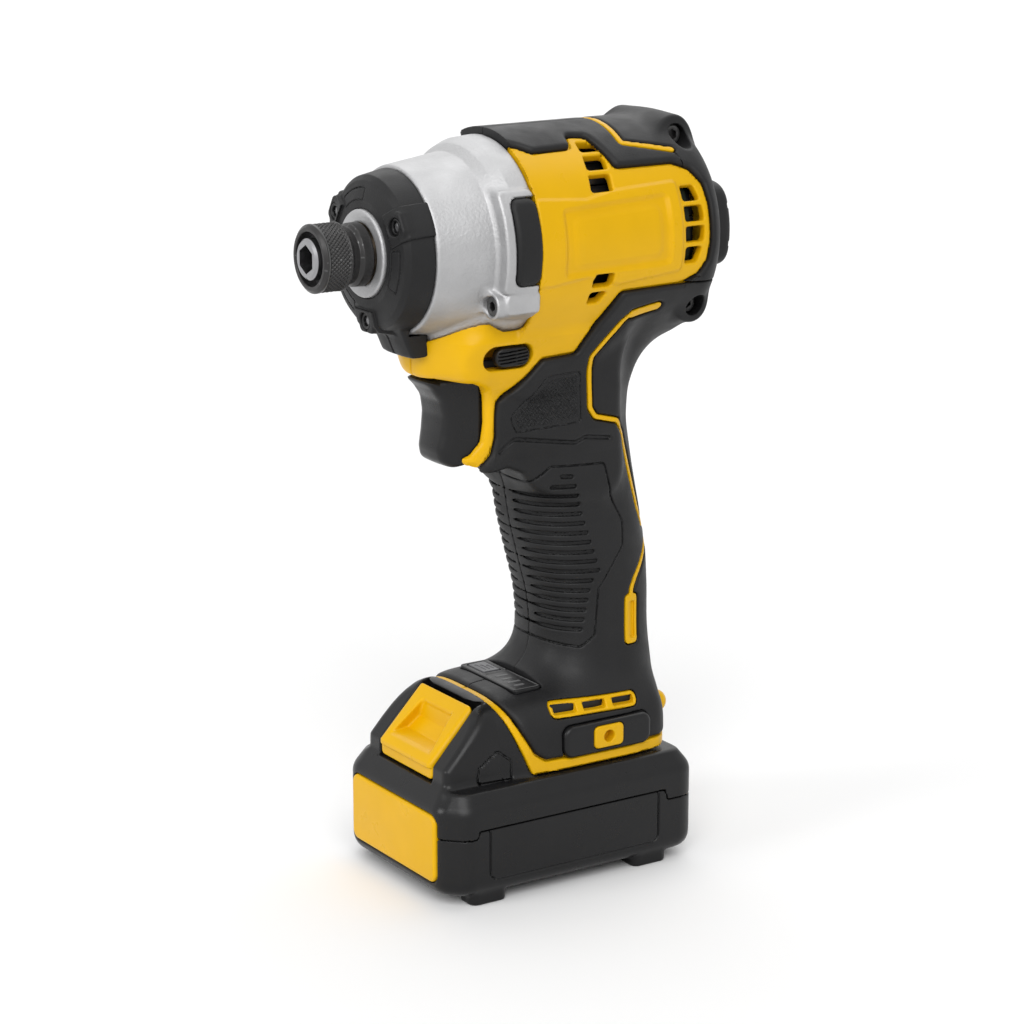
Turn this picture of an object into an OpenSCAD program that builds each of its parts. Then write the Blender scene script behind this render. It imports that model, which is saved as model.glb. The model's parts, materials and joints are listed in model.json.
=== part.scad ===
// Compact cordless impact driver, +X to the nose, +Y to its left, +Z up, standing on its battery.
// Stations are distances back from the tip of the anvil; levels are heights above the drive axis.

/* [Bit holder] */
// Hex socket for bits, across flats
bit_af = 6.5; // [6.3:0.05:7]
// Depth of the hex socket
bit_depth = 22; // [16:1:26]
// Radius of the anvil's nose
anvil_r = 5.3; // [5:0.1:6]
// Radius of the anvil where it turns in its bush
journal_r = 6.4; // [6:0.1:7.5]
// Setback of the collar behind the anvil's tip
collar_setback = 0.8; // [0.4:0.1:1.5]
// Length of the collar
collar_len = 14.4; // [12:0.2:18]
// Radius of the collar's knurled grip
collar_r = 8.8; // [8.2:0.1:10]
// Length of the collar's knurled grip
collar_grip_len = 8.6; // [6:0.2:10]
// Radius of the collar's plain sleeve
collar_sleeve_r = 7.8; // [7.2:0.1:8.4]
// Radius of the bore inside the collar that takes its spring
collar_bore_r = 7; // [6.8:0.1:7.4]
// How far the collar pulls forward to free a bit
collar_travel = 3; // [2:0.5:4]

/* [Gear case] */
// Gap between the collar and the front of the gear case
boss_gap = 0.7; // [0.5:0.1:2]
// Radius of the bare metal boss round the collar
boss_r = 11.2; // [10.5:0.1:12.5]
// Length of the gear case's nose, from boss to inner face
nose_len = 9.6; // [9:0.2:13]
// Length of the gear case that shows
case_len = 36.5; // [35:0.5:44]
// Step from the bumper's rear edge out to the gear case
case_step = 0.9; // [0.6:0.1:1.5]
// How much the gear case widens from its front edge to its rear band
case_taper = 2.3; // [1.8:0.1:3]
// Step up to the gear case's rear band
band_step = 3.6; // [3:0.1:4.2]
// Length of the gear case's rear band
case_band_len = 6.2; // [5:0.2:8]
// Wall of the gear case
case_wall = 2.4; // [2:0.1:2.8]
// Length of the spigot that the motor housing clamps
spigot_len = 10.2; // [9.6:0.2:12]
// Radius of the screws that hold the gear case
case_screw_r = 1.5; // [1.2:0.1:1.8]

/* [Nose bumper] */
// Width of the bumper's face round the boss
face_ring = 8; // [7.2:0.1:9]
// How much the bumper widens to its rear edge
bumper_flare = 1.6; // [1:0.1:2.2]
// Thickness of the bumper over the gear case
bumper_wall = 2.3; // [1.6:0.1:2.8]
// Number of lights in the bumper
light_count = 3; // [2:1:4]
// Radius of each light's lens
light_r = 2; // [1.4:0.1:2.2]
// Half width of the bumper's chin tab
tab_half_w = 6; // [5:0.5:9]
// Depth of the chin tab below the gear case's front edge
tab_depth = 5.3; // [4:0.1:6]

/* [Impact mechanism] */
// How far the anvil's striking arms stop short of the hammer's radius
arm_step = 1.6; // [1:0.1:3]
// Thickness of the anvil's arms
arm_len = 6; // [5:0.2:7]
// Distance from the gear case's front edge in to the hammer
hammer_room = 3.1; // [2.8:0.1:4]
// Length of the hammer's body
hammer_len = 13.4; // [12:0.2:15]
// How far the hammer draws back along the spindle
hammer_travel = 6.4; // [5:0.2:7]
// Radius of the spindle
spindle_r = 6; // [5.5:0.1:6.5]
// Radius of the cam balls
cam_ball_r = 1.9; // [1.5:0.1:2.2]
// Wire radius of the hammer spring
hammer_wire_r = 1.1; // [0.8:0.1:1.3]
// Turns of the hammer spring
hammer_turns = 3.5; // [3:0.5:5]

/* [Gears] */
// Rim of the ring gear outside its teeth
ring_rim = 1.56; // [1.2:0.02:2]
// Teeth of the sun pinion
sun_teeth = 9; // [9:3:9]
// Teeth of each planet
planet_teeth = 21; // [21:3:21]
// Face width of the gears
gear_w = 5.4; // [4.5:0.1:6]
// Radius of the planets' pins
pin_r = 2; // [1.5:0.1:2.5]
// Wall of the gear case's spigot round the ring gear
spigot_wall = 2.85; // [2.4:0.05:3.2]

/* [Motor] */
// Radius of the motor shaft
shaft_r = 2.5; // [2.3:0.1:3]
// Room for the coils between the rotor and the stator's outside
coil_room = 11.4; // [10:0.2:13]
// Room between the stator and the barrel's bore
stator_room = 3.4; // [2.8:0.1:5]
// Length of the stator
stator_len = 15; // [12:0.5:15.5]
// How far the cooling fan stops short of the stator's radius
fan_step = 1.4; // [0.5:0.1:3]
// Length of the fan's blades
fan_len = 6.6; // [4:0.2:7]
// Blades on the fan
fan_blades = 13; // [9:1:17]
// Outer radius of the motor bearings
bearing_r = 6.5; // [6:0.5:8]
// Length of the motor bearings
bearing_len = 4; // [3:0.5:5]

/* [Motor housing] */
// Step from the gear case's rear band out to the yellow barrel
body_step = 0.8; // [0.4:0.1:1.6]
// Wall of the plastic shells
wall = 2.6; // [2:0.1:2.8]
// Room between the motor's sensor board and the barrel's rear face
rear_room = 8.96; // [8:0.02:12]
// Rounding of the barrel's rear edge
rear_round = 11.4; // [8:0.2:13]
// Thickness of the soft overmould
skin = 1.1; // [0.8:0.1:1.4]
// How far the rear bumper stands out behind the rear cap
tail_len = 4.6; // [3:0.1:6]
// Radius of the rear bumper's ends
tail_r = 22.5; // [18:0.5:24]
// Height of the rear bumper
tail_h = 23; // [18:0.5:28]
// Width of the vent openings along the barrel
vent_w = 5; // [3.5:0.1:5.5]
// Height of each vent opening
vent_h = 3.4; // [2.5:0.1:3.6]
// Radius of the screws that join the shells
shell_screw_r = 1.5; // [1.2:0.1:1.8]

/* [Trigger] */
// Half width of the trigger
trigger_half_w = 8.4; // [7:0.2:9.2]
// Height of the trigger
trigger_h = 22.6; // [20:0.2:24]
// Depth of the trigger that shows
trigger_depth = 11.8; // [10:0.2:13]
// Travel of the trigger
trigger_travel = 6; // [4:0.5:7]
// Height of the direction lever
lever_h = 6; // [5:0.2:7]
// Length of the direction lever
lever_len = 13.6; // [11:0.2:15]
// Travel of the direction lever to each side
lever_travel = 2.6; // [2:0.2:3]

/* [Handle] */
// Drop of the foot's top below the drive axis
grip_drop = 119; // [112:0.5:128]
// Depth of the handle, front to back
grip_depth = 40; // [37:0.5:43]
// Width of the handle
grip_w = 33; // [31:0.5:36]
// Distance from the gear case back to the middle of the handle
grip_setback = 27.6; // [26:0.2:29]
// Half width of the chin and the trigger frame
frame_half_w = 14.4; // [13.5:0.1:15]
// Half width of the chin where it meets the gear case
chin_half_w = 18.6; // [18:0.1:20]
// Depth of the chin below the gear case's rear band
chin_depth = 7; // [6:0.1:8.5]

/* [Foot] */
// Width of the foot
foot_w = 49; // [47:0.5:53]
// Length of the foot
foot_len = 56; // [53:0.5:60]
// Height of the foot
foot_h = 21; // [20:0.5:23]
// Height of the yellow band along the foot's lower edge
band_h = 3.2; // [2.4:0.1:4.5]
// Width of the control panel across the tool
panel_w = 28; // [24:0.5:32]
// Length of the control panel
panel_len = 9; // [7:0.2:10]
// Travel of the mode button
button_travel = 0.6; // [0.4:0.1:1]
// Radius of the hook screw's threaded hole
hook_hole_r = 1.6; // [1.2:0.05:2]
// Depth of the hook screw's threaded hole
hook_hole_depth = 5; // [3:0.2:6]

/* [Battery] */
// Room between the cells' ends and the outside of the battery
cell_end = 6.75; // [6.2:0.05:9]
// Gap between the two lower cells
cell_gap = 15.9; // [12:0.1:17]
// Room above the upper cell
cell_room = 0.36; // [0.2:0.02:2]
// Height of the battery's lower case
pack_case_h = 18; // [17:0.5:24]
// Radius of the battery's upright corners
pack_corner_r = 7; // [5:0.5:9]
// Wall of the battery's case
pack_wall = 2.2; // [1.6:0.1:2.6]
// Height of the battery's feet
pack_foot_h = 2.5; // [1.5:0.1:4]
// Radius of the battery's cells
cell_r = 8.9; // [8:0.1:9]
// Length of the battery's cells
cell_len = 65; // [60:0.5:66]
// Width of the yellow front panel
front_panel_w = 42.6; // [36:0.5:44]
// Thickness of the yellow front panel
front_panel_t = 1.6; // [1:0.1:2]
// Half width of the latch button
latch_half_w = 13.2; // [11:0.2:15]
// Travel of the latch button
latch_travel = 2.6; // [1.5:0.1:3]

/* [Hidden] */
$fn = 64;

// Overrun of every cut
over = 0.5;
// Clearance of a sliding or turning fit
fit = 0.05;
// Clearance of a loose running part
run = 0.3;
// Clearance between moulded pieces that move past each other
slip = 0.4;

// Stations along the drive axis
collar_back = collar_setback + collar_len;
boss_front = collar_back + boss_gap;
nose_back = boss_front + nose_len;
case_back = boss_front + case_len;
arm_front = nose_back + run;
arm_back = arm_front + arm_len;
hammer_front = arm_back + run;
hammer_back = hammer_front + hammer_len;
carrier_front = hammer_back + hammer_travel + run;
gear_front = carrier_front + case_wall / 2;
gear_back = gear_front + gear_w;
carrier_back = gear_back + case_wall / 2;
plate_front = case_back + spigot_len;
plate_back = max(plate_front, carrier_back + run) + bearing_len + case_wall / 2;
front_bearing_back = plate_back + bearing_len;
fan_front = front_bearing_back + run * 2;
fan_back = fan_front + fan_len;
stator_front = fan_back + shaft_r;
stator_back = stator_front + stator_len;
board_front = stator_back + shaft_r;
board_back = board_front + case_wall * 0.6;
body_back = board_back + rear_room;
body_len = body_back - case_back;
rear_bearing_back = body_back - wall;
rear_bearing_front = rear_bearing_back - bearing_len;
cap_front = body_back - rear_round + skin;
cap_back = body_back + skin;
tool_len = cap_back + tail_len;
nose_x = tool_len / 2;

// Levels below the drive axis
foot_top = -grip_drop;
foot_bottom = foot_top - foot_h;
cover_top = foot_bottom - slip;
cell_left = cell_r + cell_gap / 2;
nest_rise = sqrt(max(pow(cell_r * 2 + fit * 2, 2) - pow(cell_left, 2), pow(fit, 2)));
case_bottom = cover_top - cell_room - cell_r * 2 - nest_rise - pack_wall * 2;
seam_level = case_bottom + pack_case_h;
pack_cover_h = cover_top - seam_level;
ground_level = case_bottom - pack_foot_h;
axis_h = -ground_level;

// Nested radii and the handle's middle
bumper_face_r = boss_r + face_ring;
bumper_rear_r = bumper_face_r + bumper_flare;
case_front_r = bumper_rear_r + case_step;
case_mid_r = case_front_r + case_taper;
case_band_r = case_mid_r + band_step;
body_r = case_band_r + body_step;
hammer_r = case_front_r - hammer_room;
arm_r = hammer_r - arm_step;
tab_drop = case_front_r + tab_depth;
chin_drop = case_band_r + chin_depth;
barrel_bore = body_r - wall;
spigot_r = barrel_bore - run / 2;
ring_r = spigot_r - spigot_wall;
stator_r = barrel_bore - stator_room;
rotor_r = stator_r - coil_room;
fan_r = stator_r - fan_step;
hammer_bore = hammer_r + run;
soft_r = body_r + skin;
grip_mid = case_back + grip_setback;
grip_half = grip_w / 2;
foot_half = foot_w / 2;
foot_front = grip_mid - foot_len * 0.64;

// Turns its children from a turned profile's frame onto the drive axis
module on_axis() {
    translate([nose_x, 0, axis_h]) rotate([0, -90, 0]) children();
}

// Solid of revolution on the drive axis from points of radius and station
module turned(points) {
    on_axis() rotate_extrude() polygon(points);
}

// Plain ring on the drive axis between two stations
module ring(r_out, r_in, front, back) {
    turned([[r_in, front], [r_out, front], [r_out, back], [r_in, back]]);
}

// Plain disc on the drive axis between two stations
module disc(r, front, back) {
    on_axis() translate([0, 0, front]) cylinder(r = r, h = back - front);
}

// Rod beside the drive axis at a level and an offset to the left
module rod(level, left, r, front, back) {
    on_axis() translate([level, left, front]) cylinder(r = r, h = back - front);
}

// Side outline of stations and levels, spread between two offsets to the left
module side_slab(points, right, left) {
    translate([nose_x, left, axis_h]) rotate([90, 0, 0]) linear_extrude(left - right)
        polygon([for (p = points) [-p[0], p[1]]]);
}

// Block between two stations, two levels and two offsets to the left
module block(stations, levels, offsets) {
    translate([nose_x - stations[1], offsets[0], axis_h + levels[0]])
        cube([stations[1] - stations[0], offsets[1] - offsets[0], levels[1] - levels[0]]);
}

// Rounded plate seen from the side, spread between two offsets to the left
module side_plate(stations, levels, offsets, r) {
    w = stations[1] - stations[0];
    h = levels[1] - levels[0];
    translate([nose_x - stations[1], offsets[1], axis_h + levels[0]]) rotate([90, 0, 0])
        linear_extrude(offsets[1] - offsets[0]) rounded(w, h, r);
}

// Rounded plate seen from above, raised between two levels
module flat_plate(stations, half_w, levels, r) {
    w = stations[1] - stations[0];
    translate([nose_x - stations[1], -half_w, axis_h + levels[0]])
        linear_extrude(levels[1] - levels[0]) rounded(w, half_w * 2, r);
}

// Rectangle with round corners
module rounded(w, h, r) {
    translate([r, 0]) square([w - r * 2, h]);
    translate([0, r]) square([w, h - r * 2]);
    for (x = [r, w - r], y = [r, h - r]) translate([x, y]) circle(r);
}

// Pin across the tool at a station and a level
module cross_pin(station, level, r, right, left) {
    translate([nose_x - station, left, axis_h + level]) rotate([90, 0, 0]) cylinder(r = r, h = left - right);
}

// Keeps one side of the tool: 1 for the left, -1 for the right
module half(side) {
    intersection() {
        children();
        translate([0, side * axis_h, axis_h]) cube(axis_h * 2, center = true);
    }
}

// Repeats its children on the left and the right
module both_sides() {
    children();
    mirror([0, 1, 0]) children();
}

// Involute gear outline
pressure = 25;
rim_points = 4;
function involute(a) = tan(a) - a * PI / 180;
function tooth_half(z, rho, slack) = let (base = gear_m * z / 2 * cos(pressure))
    (90 + slack) / z + (involute(pressure) - (rho > base ? involute(acos(base / rho)) : 0)) * 180 / PI;
function gear_points(z, root, tip, slack) = let (base = gear_m * z / 2 * cos(pressure), low = max(root, base))
    [for (k = [0 : z - 1]) let (mid = 360 * k / z) each concat(
        [polar(root, mid - tooth_half(z, low, slack))],
        [for (i = [0 : rim_points]) let (rho = low + (tip - low) * i / rim_points)
            polar(rho, mid - tooth_half(z, rho, slack))],
        [for (i = [rim_points : -1 : 0]) let (rho = low + (tip - low) * i / rim_points)
            polar(rho, mid + tooth_half(z, rho, slack))],
        [polar(root, mid + tooth_half(z, low, slack))])];
function polar(r, a) = [r * cos(a), r * sin(a)];

// Gear train proportions
addendum_share = 0.8;
dedendum_share = 1.05;
slack_share = 4;
planets = 3;
ring_teeth = sun_teeth + planet_teeth * 2;
gear_m = (ring_r - ring_rim) / (ring_teeth / 2 + dedendum_share);
sun_pitch = gear_m * sun_teeth / 2;
planet_pitch = gear_m * planet_teeth / 2;
ring_pitch = gear_m * ring_teeth / 2;
planet_orbit = sun_pitch + planet_pitch;
addendum = gear_m * addendum_share;
dedendum = gear_m * dedendum_share;
function planet_phase(k) = let (a = 360 * k / planets) a + 180 - (180 - sun_teeth * a) / planet_teeth;

// Spring wire as one unbroken tube along a helix whose end turns lie closed
wire_sides = 6;
steps_per_turn = 14;
function coil_centre(t, turns, r, len, wire) = let (
        a = 360 * t,
        rise = min(max((t - 1) / (turns - 2), 0), 1),
        ends = min(t, 1) + max(t - turns + 1, 0),
        closed = wire * 2.1)
    [r * cos(a), r * sin(a), wire + closed * ends + (len - wire * 2 - closed * 2) * rise];
function coil_ring(t, turns, r, len, wire) = let (
        c = coil_centre(t, turns, r, len, wire),
        a = 360 * t)
    [for (j = [0 : wire_sides - 1]) let (b = 360 * j / wire_sides)
        c + [wire * cos(b) * cos(a), wire * cos(b) * sin(a), wire * sin(b)]];
module coil(turns, r, len, wire) {
    n = ceil(turns * steps_per_turn);
    points = [for (i = [0 : n]) each coil_ring(turns * i / n, turns, r, len, wire)];
    faces = [for (i = [0 : n - 1], j = [0 : wire_sides - 1]) let (
            a = i * wire_sides + j,
            b = i * wire_sides + (j + 1) % wire_sides)
        each [[a, b, a + wire_sides], [b, b + wire_sides, a + wire_sides]]];
    first = [for (j = [wire_sides - 1 : -1 : 0]) j];
    last = [for (j = [0 : wire_sides - 1]) n * wire_sides + j];
    polyhedron(points, concat([first], faces, [last]), convexity = 8);
}

// Bit holder
ball_r = (anvil_r - bit_af / 2) / 2;
ball_station = collar_back - ball_r * 1.6;
shoulder = ball_station - ball_r * 2;
collar_ring_t = anvil_r / 6;
collar_wire_r = (collar_bore_r - anvil_r) / 4;
spring_front = shoulder - collar_travel - collar_wire_r * 8;
lip = collar_r / 14;

module anvil() {
    socket_r = bit_af / 2 / cos(30);
    color("dimgray") difference() {
        union() {
            turned([[0, 0], [anvil_r - lip, 0], [anvil_r, lip], [anvil_r, collar_back],
                [journal_r, collar_back + boss_gap], [journal_r, arm_front + run], [0, arm_front + run]]);
            on_axis() translate([0, 0, arm_front]) linear_extrude(arm_len) {
                circle(spindle_r + case_wall);
                for (side = [0, 180]) rotate(side) intersection() {
                    circle(arm_r);
                    translate([0, -arm_len / 2]) square([arm_r, arm_len]);
                }
            }
        }
        on_axis() translate([0, 0, -over]) cylinder(r = socket_r, h = bit_depth + over, $fn = 6);
        disc(spindle_r - case_wall + fit, arm_back - arm_len, arm_back + over);
        on_axis() translate([0, 0, ball_station]) rotate([90, 0, 0]) cylinder(r = ball_r + fit,
            h = anvil_r + over);
        ring(anvil_r + over, anvil_r - lip, spring_front - collar_ring_t, spring_front);
    }
}

module collar() {
    grip_back = collar_setback + collar_grip_len;
    color([0.12, 0.12, 0.13]) turned([
        [collar_bore_r + lip, collar_setback], [collar_r - lip, collar_setback], [collar_r,
            collar_setback + lip],
        [collar_r, grip_back - lip], [collar_r - lip, grip_back], [collar_sleeve_r, grip_back + lip],
        [collar_sleeve_r, collar_back], [anvil_r + fit, collar_back], [anvil_r + fit, shoulder],
        [collar_bore_r, shoulder], [collar_bore_r, collar_setback + lip]]);
}

module collar_spring() {
    color("gray") on_axis() translate([0, 0, spring_front + fit])
        coil(3, anvil_r + collar_wire_r * 2, shoulder - spring_front - fit * 2, collar_wire_r);
}

module collar_ring() {
    color("silver") ring(collar_bore_r - fit, anvil_r - lip, spring_front - collar_ring_t, spring_front);
}

module bit_ball() {
    color("silver") on_axis() translate([0, -anvil_r + ball_r, ball_station]) sphere(ball_r);
}

// Gear case and what it wears at the front
seat_r = bumper_face_r - bumper_wall / 2;
bumper_back = boss_front + nose_len - fit;
bumper_front = boss_front + lip;
face_back = bumper_front + bumper_wall;
bush_r = journal_r + case_wall;
band_front = case_back - case_band_len;
cone_back = band_front - case_wall / 2;
ear_angle = -28.5;
ear_orbit = case_mid_r + case_screw_r * 1.4;
ear_r = case_screw_r * 2.1;
ear_front = band_front - ear_r;
ear_head_r = case_screw_r * 1.7;
ear_head_len = case_screw_r * 1.6;
ear_level = ear_orbit * sin(ear_angle);
ear_left = ear_orbit * cos(ear_angle);
pad_levels_shares = [-0.26, 0.51];
pad_front = band_front - case_wall * 0.6;
pad_levels = body_r * pad_levels_shares;
pad_floor = case_mid_r + case_wall / 2;

module nose_bush() {
    color("darkgoldenrod") ring(bush_r, journal_r + fit, boss_front + boss_gap, nose_back);
}

module side_pad_shape(grow) {
    side_plate([pad_front - grow, case_back + grow], [pad_levels[0] - grow, pad_levels[1] + grow],
        [pad_floor / 2, soft_r + over], case_wall);
}

module gear_case() {
    color("lightgray") difference() {
        union() {
            turned([[bush_r, boss_front], [boss_r, boss_front], [boss_r, face_back], [seat_r, face_back],
                [seat_r, bumper_back], [case_front_r - lip, bumper_back], [case_front_r, bumper_back + lip],
                [case_mid_r, cone_back - case_wall], [case_mid_r + lip, cone_back], [case_band_r, band_front],
                [case_band_r, case_back], [spigot_r, case_back], [spigot_r, plate_front],
                [ring_r, plate_front], [ring_r, gear_front - case_wall / 2], [hammer_bore, carrier_front],
                [hammer_bore, nose_back], [bush_r, nose_back]]);
            both_sides() rod(ear_level, ear_left, ear_r, ear_front, case_back);
        }
        both_sides() rod(ear_level, ear_left, case_screw_r + fit, ear_front - over, plate_front + over);
        both_sides() rod(ear_level, ear_left, ear_r + run, case_back, plate_front + over);
        both_sides() rod(ear_level, ear_left, ear_head_r + fit, ear_front - ear_head_len - over, ear_front);
        both_sides() intersection() {
            ring(soft_r + over, pad_floor, pad_front - over, case_back + over);
            side_pad_shape(fit);
        }
    }
}

module side_pads() {
    color([0.13, 0.13, 0.14]) both_sides() intersection() {
        ring(soft_r - skin / 2, pad_floor + fit, pad_front - over, case_back);
        side_pad_shape(0);
    }
}

module gear_case_screws() {
    color("dimgray") both_sides() difference() {
        union() {
            rod(ear_level, ear_left, ear_head_r, ear_front - ear_head_len, ear_front);
            rod(ear_level, ear_left, case_screw_r, ear_front - over, plate_front - case_screw_r);
        }
        on_axis() translate([ear_level, ear_left, ear_front - ear_head_len - over])
            cylinder(r = case_screw_r * 0.9, h = ear_head_len * 0.6 + over, $fn = 6);
    }
}

light_orbit = (boss_r + seat_r) / 2 + light_r / 2;
board_room = bumper_wall * 0.35;
function light_angle(k) = 180 + 360 * k / light_count;

module light_holes(r, front, back) {
    for (k = [0 : light_count - 1]) on_axis() rotate(light_angle(k)) translate([light_orbit, 0, front])
        cylinder(r = r, h = back - front);
}

module nose_bumper() {
    tab_back = bumper_back + case_wall / 2;
    color([0.11, 0.11, 0.12]) difference() {
        union() {
            turned([[boss_r + fit, bumper_front], [boss_r + bumper_wall, bumper_front],
                [bumper_face_r - bumper_wall / 2, bumper_front + bumper_wall * 0.4],
                [bumper_face_r, bumper_front + bumper_wall], [bumper_rear_r, bumper_back - bumper_wall],
                [bumper_rear_r, bumper_back], [seat_r + fit, bumper_back], [seat_r + fit, face_back - fit],
                [boss_r + fit, face_back - fit]]);
            difference() {
                side_slab([[bumper_front + bumper_wall * 2.4, -seat_r], [bumper_front + bumper_wall * 3.2,
                    -tab_drop],
                    [tab_back, -tab_drop], [tab_back, -seat_r]], -tab_half_w, tab_half_w);
                disc(seat_r + fit, 0, bumper_back);
                disc(case_front_r + lip, bumper_back, case_back);
            }
        }
        light_holes(light_r + fit, bumper_front - over, face_back);
        ring(light_orbit + light_r + run, boss_r, face_back - board_room - fit, face_back);
    }
}

module nose_lenses() {
    color([0.9, 0.92, 0.95]) light_holes(light_r, bumper_front + lip * 1.5, face_back - board_room);
}

module light_board() {
    color("seagreen") ring(light_orbit + light_r, boss_r + fit, face_back - board_room, face_back - fit);
}

// Impact mechanism
lug_half = arm_len / 2;
lug_front = arm_front + run;
pocket_r = spindle_r + hammer_wire_r * 2 + case_wall;
pocket_front = hammer_front + hammer_len * 0.36;
spring_seat_r = spindle_r + (pocket_r - spindle_r) / 2;
cam_station = hammer_front + hammer_len * 0.2;
pilot_r = spindle_r - case_wall;

module hammer() {
    color("slategray") difference() {
        union() {
            disc(hammer_r, hammer_front, hammer_back);
            on_axis() translate([0, 0, lug_front]) linear_extrude(hammer_front - lug_front + lip)
                for (side = [90, 270]) rotate(side) difference() {
                    intersection() {
                        circle(arm_r);
                        translate([0, -lug_half]) square([arm_r, lug_half * 2]);
                    }
                    circle(spindle_r + case_wall * 2);
                }
        }
        disc(spindle_r + fit, hammer_front - over, hammer_back + over);
        ring(pocket_r, spindle_r, pocket_front, hammer_back + over);
        for (side = [0, 180]) on_axis() rotate(side) translate([spindle_r, 0, hammer_front - over])
            cylinder(r = cam_ball_r + run, h = cam_station + cam_ball_r + run - hammer_front + over);
    }
}

module hammer_spring() {
    color("gray") on_axis() translate([0, 0, pocket_front + fit])
        coil(hammer_turns, spring_seat_r, carrier_front - pocket_front - fit * 2, hammer_wire_r);
}

module cam_balls() {
    color("silver") for (side = [0, 180]) on_axis() rotate(side)
        translate([spindle_r, 0, cam_station]) sphere(cam_ball_r);
}

carrier_r = ring_pitch - addendum - run * 2;
hub_r = bearing_r + case_wall / 2;
hub_back = carrier_back + run + bearing_len;

module spindle() {
    slot_r = planet_pitch + addendum + run;
    color("gainsboro") difference() {
        union() {
            disc(pilot_r, arm_back - arm_len + run, hammer_front);
            disc(spindle_r, arm_back + fit, carrier_front + fit);
            disc(carrier_r, carrier_front, carrier_back);
            disc(hub_r, carrier_back - fit, hub_back);
        }
        disc(sun_pitch + addendum + run, gear_front - run, hub_back + over);
        for (k = [0 : planets - 1]) on_axis() rotate(360 * k / planets) translate([planet_orbit, 0, 0]) {
            translate([0, 0, gear_front - fit]) cylinder(r = slot_r, h = gear_w + fit * 2);
            translate([0, 0, carrier_front + run]) cylinder(r = pin_r, h = carrier_back - carrier_front);
        }
        for (side = [0, 180]) on_axis() rotate(side) translate([spindle_r, 0, cam_station])
            sphere(cam_ball_r + fit);
    }
}

module planet_pins() {
    color("silver") for (k = [0 : planets - 1]) on_axis() rotate(360 * k / planets)
        translate([planet_orbit, 0, carrier_front + run]) cylinder(r = pin_r,
            h = carrier_back - carrier_front - run);
}

module planet(k) {
    color("darkgray") on_axis() rotate(360 * k / planets) translate([planet_orbit, 0, gear_front])
        rotate(planet_phase(k) - 360 * k / planets) linear_extrude(gear_w) difference() {
            polygon(gear_points(planet_teeth, planet_pitch - dedendum, planet_pitch + addendum,
                -slack_share));
            circle(pin_r + fit);
        }
}

module planet_gear_1() { planet(0); }
module planet_gear_2() { planet(1); }
module planet_gear_3() { planet(2); }

module ring_gear() {
    color("darkgray") on_axis() translate([0, 0, gear_front - case_wall / 4])
        linear_extrude(plate_front - gear_front + case_wall / 4) difference() {
            circle(ring_r - fit);
            polygon(gear_points(ring_teeth, ring_pitch - addendum, ring_pitch + dedendum, slack_share));
        }
}

pinion_bore = sun_pitch - dedendum - gear_m;

module sun_pinion() {
    color("dimgray") on_axis() translate([0, 0, gear_front]) linear_extrude(gear_w) difference() {
        polygon(gear_points(sun_teeth, sun_pitch - dedendum, sun_pitch + addendum, -slack_share));
        circle(pinion_bore);
    }
}

// Motor
module bearing_plate() {
    lip_front = plate_front + fit;
    color([0.2, 0.2, 0.22]) turned([[hub_r + case_wall + fit, lip_front], [spigot_r, lip_front],
        [spigot_r, plate_back], [bearing_r + case_wall, plate_back], [bearing_r + case_wall,
            front_bearing_back],
        [bearing_r + fit, front_bearing_back], [bearing_r + fit, plate_back], [shaft_r + run, plate_back],
        [shaft_r + run, hub_back + run], [hub_r + case_wall + fit, hub_back + run]]);
}

module spindle_bearing() {
    color("silver") ring(hub_r + case_wall, hub_r + fit, carrier_back + run, hub_back);
}

module front_bearing() {
    color("silver") ring(bearing_r, shaft_r + fit / 2, plate_back, front_bearing_back);
}

module rear_bearing() {
    color("silver") ring(bearing_r, shaft_r + fit / 2, rear_bearing_front, rear_bearing_back);
}

module rotor() {
    color("gray") {
        turned([[0, gear_front], [pinion_bore, gear_front], [pinion_bore, carrier_back + run],
            [shaft_r, hub_back], [shaft_r, stator_front], [rotor_r, stator_front], [rotor_r, stator_back],
            [shaft_r, stator_back], [shaft_r, rear_bearing_back - fit], [0, rear_bearing_back - fit]]);
    }
}

module fan() {
    hub = rotor_r * 0.75;
    color([0.16, 0.16, 0.17]) {
        ring(hub, shaft_r, fan_front, fan_back);
        ring(fan_r, hub - fit, fan_back - fan_len / 5, fan_back);
        on_axis() for (k = [0 : fan_blades - 1]) rotate(360 * k / fan_blades)
            translate([hub - fit, 0, fan_front]) cube([fan_r - hub, fan_len / 5, fan_len * 0.9]);
    }
}

slots = 6;
module stator() {
    tooth_w = rotor_r * 0.55;
    color("steelblue") on_axis() translate([0, 0, stator_front]) linear_extrude(stator_len) difference() {
        union() {
            difference() {
                circle(stator_r);
                circle(stator_r - case_wall * 1.4);
            }
            for (k = [0 : slots - 1]) rotate(360 * k / slots)
                translate([rotor_r, -tooth_w / 2]) square([stator_r - rotor_r - case_wall, tooth_w]);
        }
        circle(rotor_r + run);
    }
}

module windings() {
    tooth_w = rotor_r * 0.55;
    band = case_wall * 0.7;
    color([0.72, 0.4, 0.2]) on_axis() for (k = [0 : slots - 1]) rotate(360 * k / slots)
        translate([rotor_r + case_wall, 0, stator_front - band]) difference() {
            translate([0, -tooth_w / 2 - band, 0])
                cube([stator_r - rotor_r - case_wall * 2.8, tooth_w + band * 2, stator_len + band * 2]);
            translate([-over, -tooth_w / 2, band])
                cube([stator_r - rotor_r + over, tooth_w, stator_len]);
        }
}

module sensor_board() {
    color("seagreen") ring(barrel_bore - run * 2, rotor_r, board_front, board_back);
}

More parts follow.
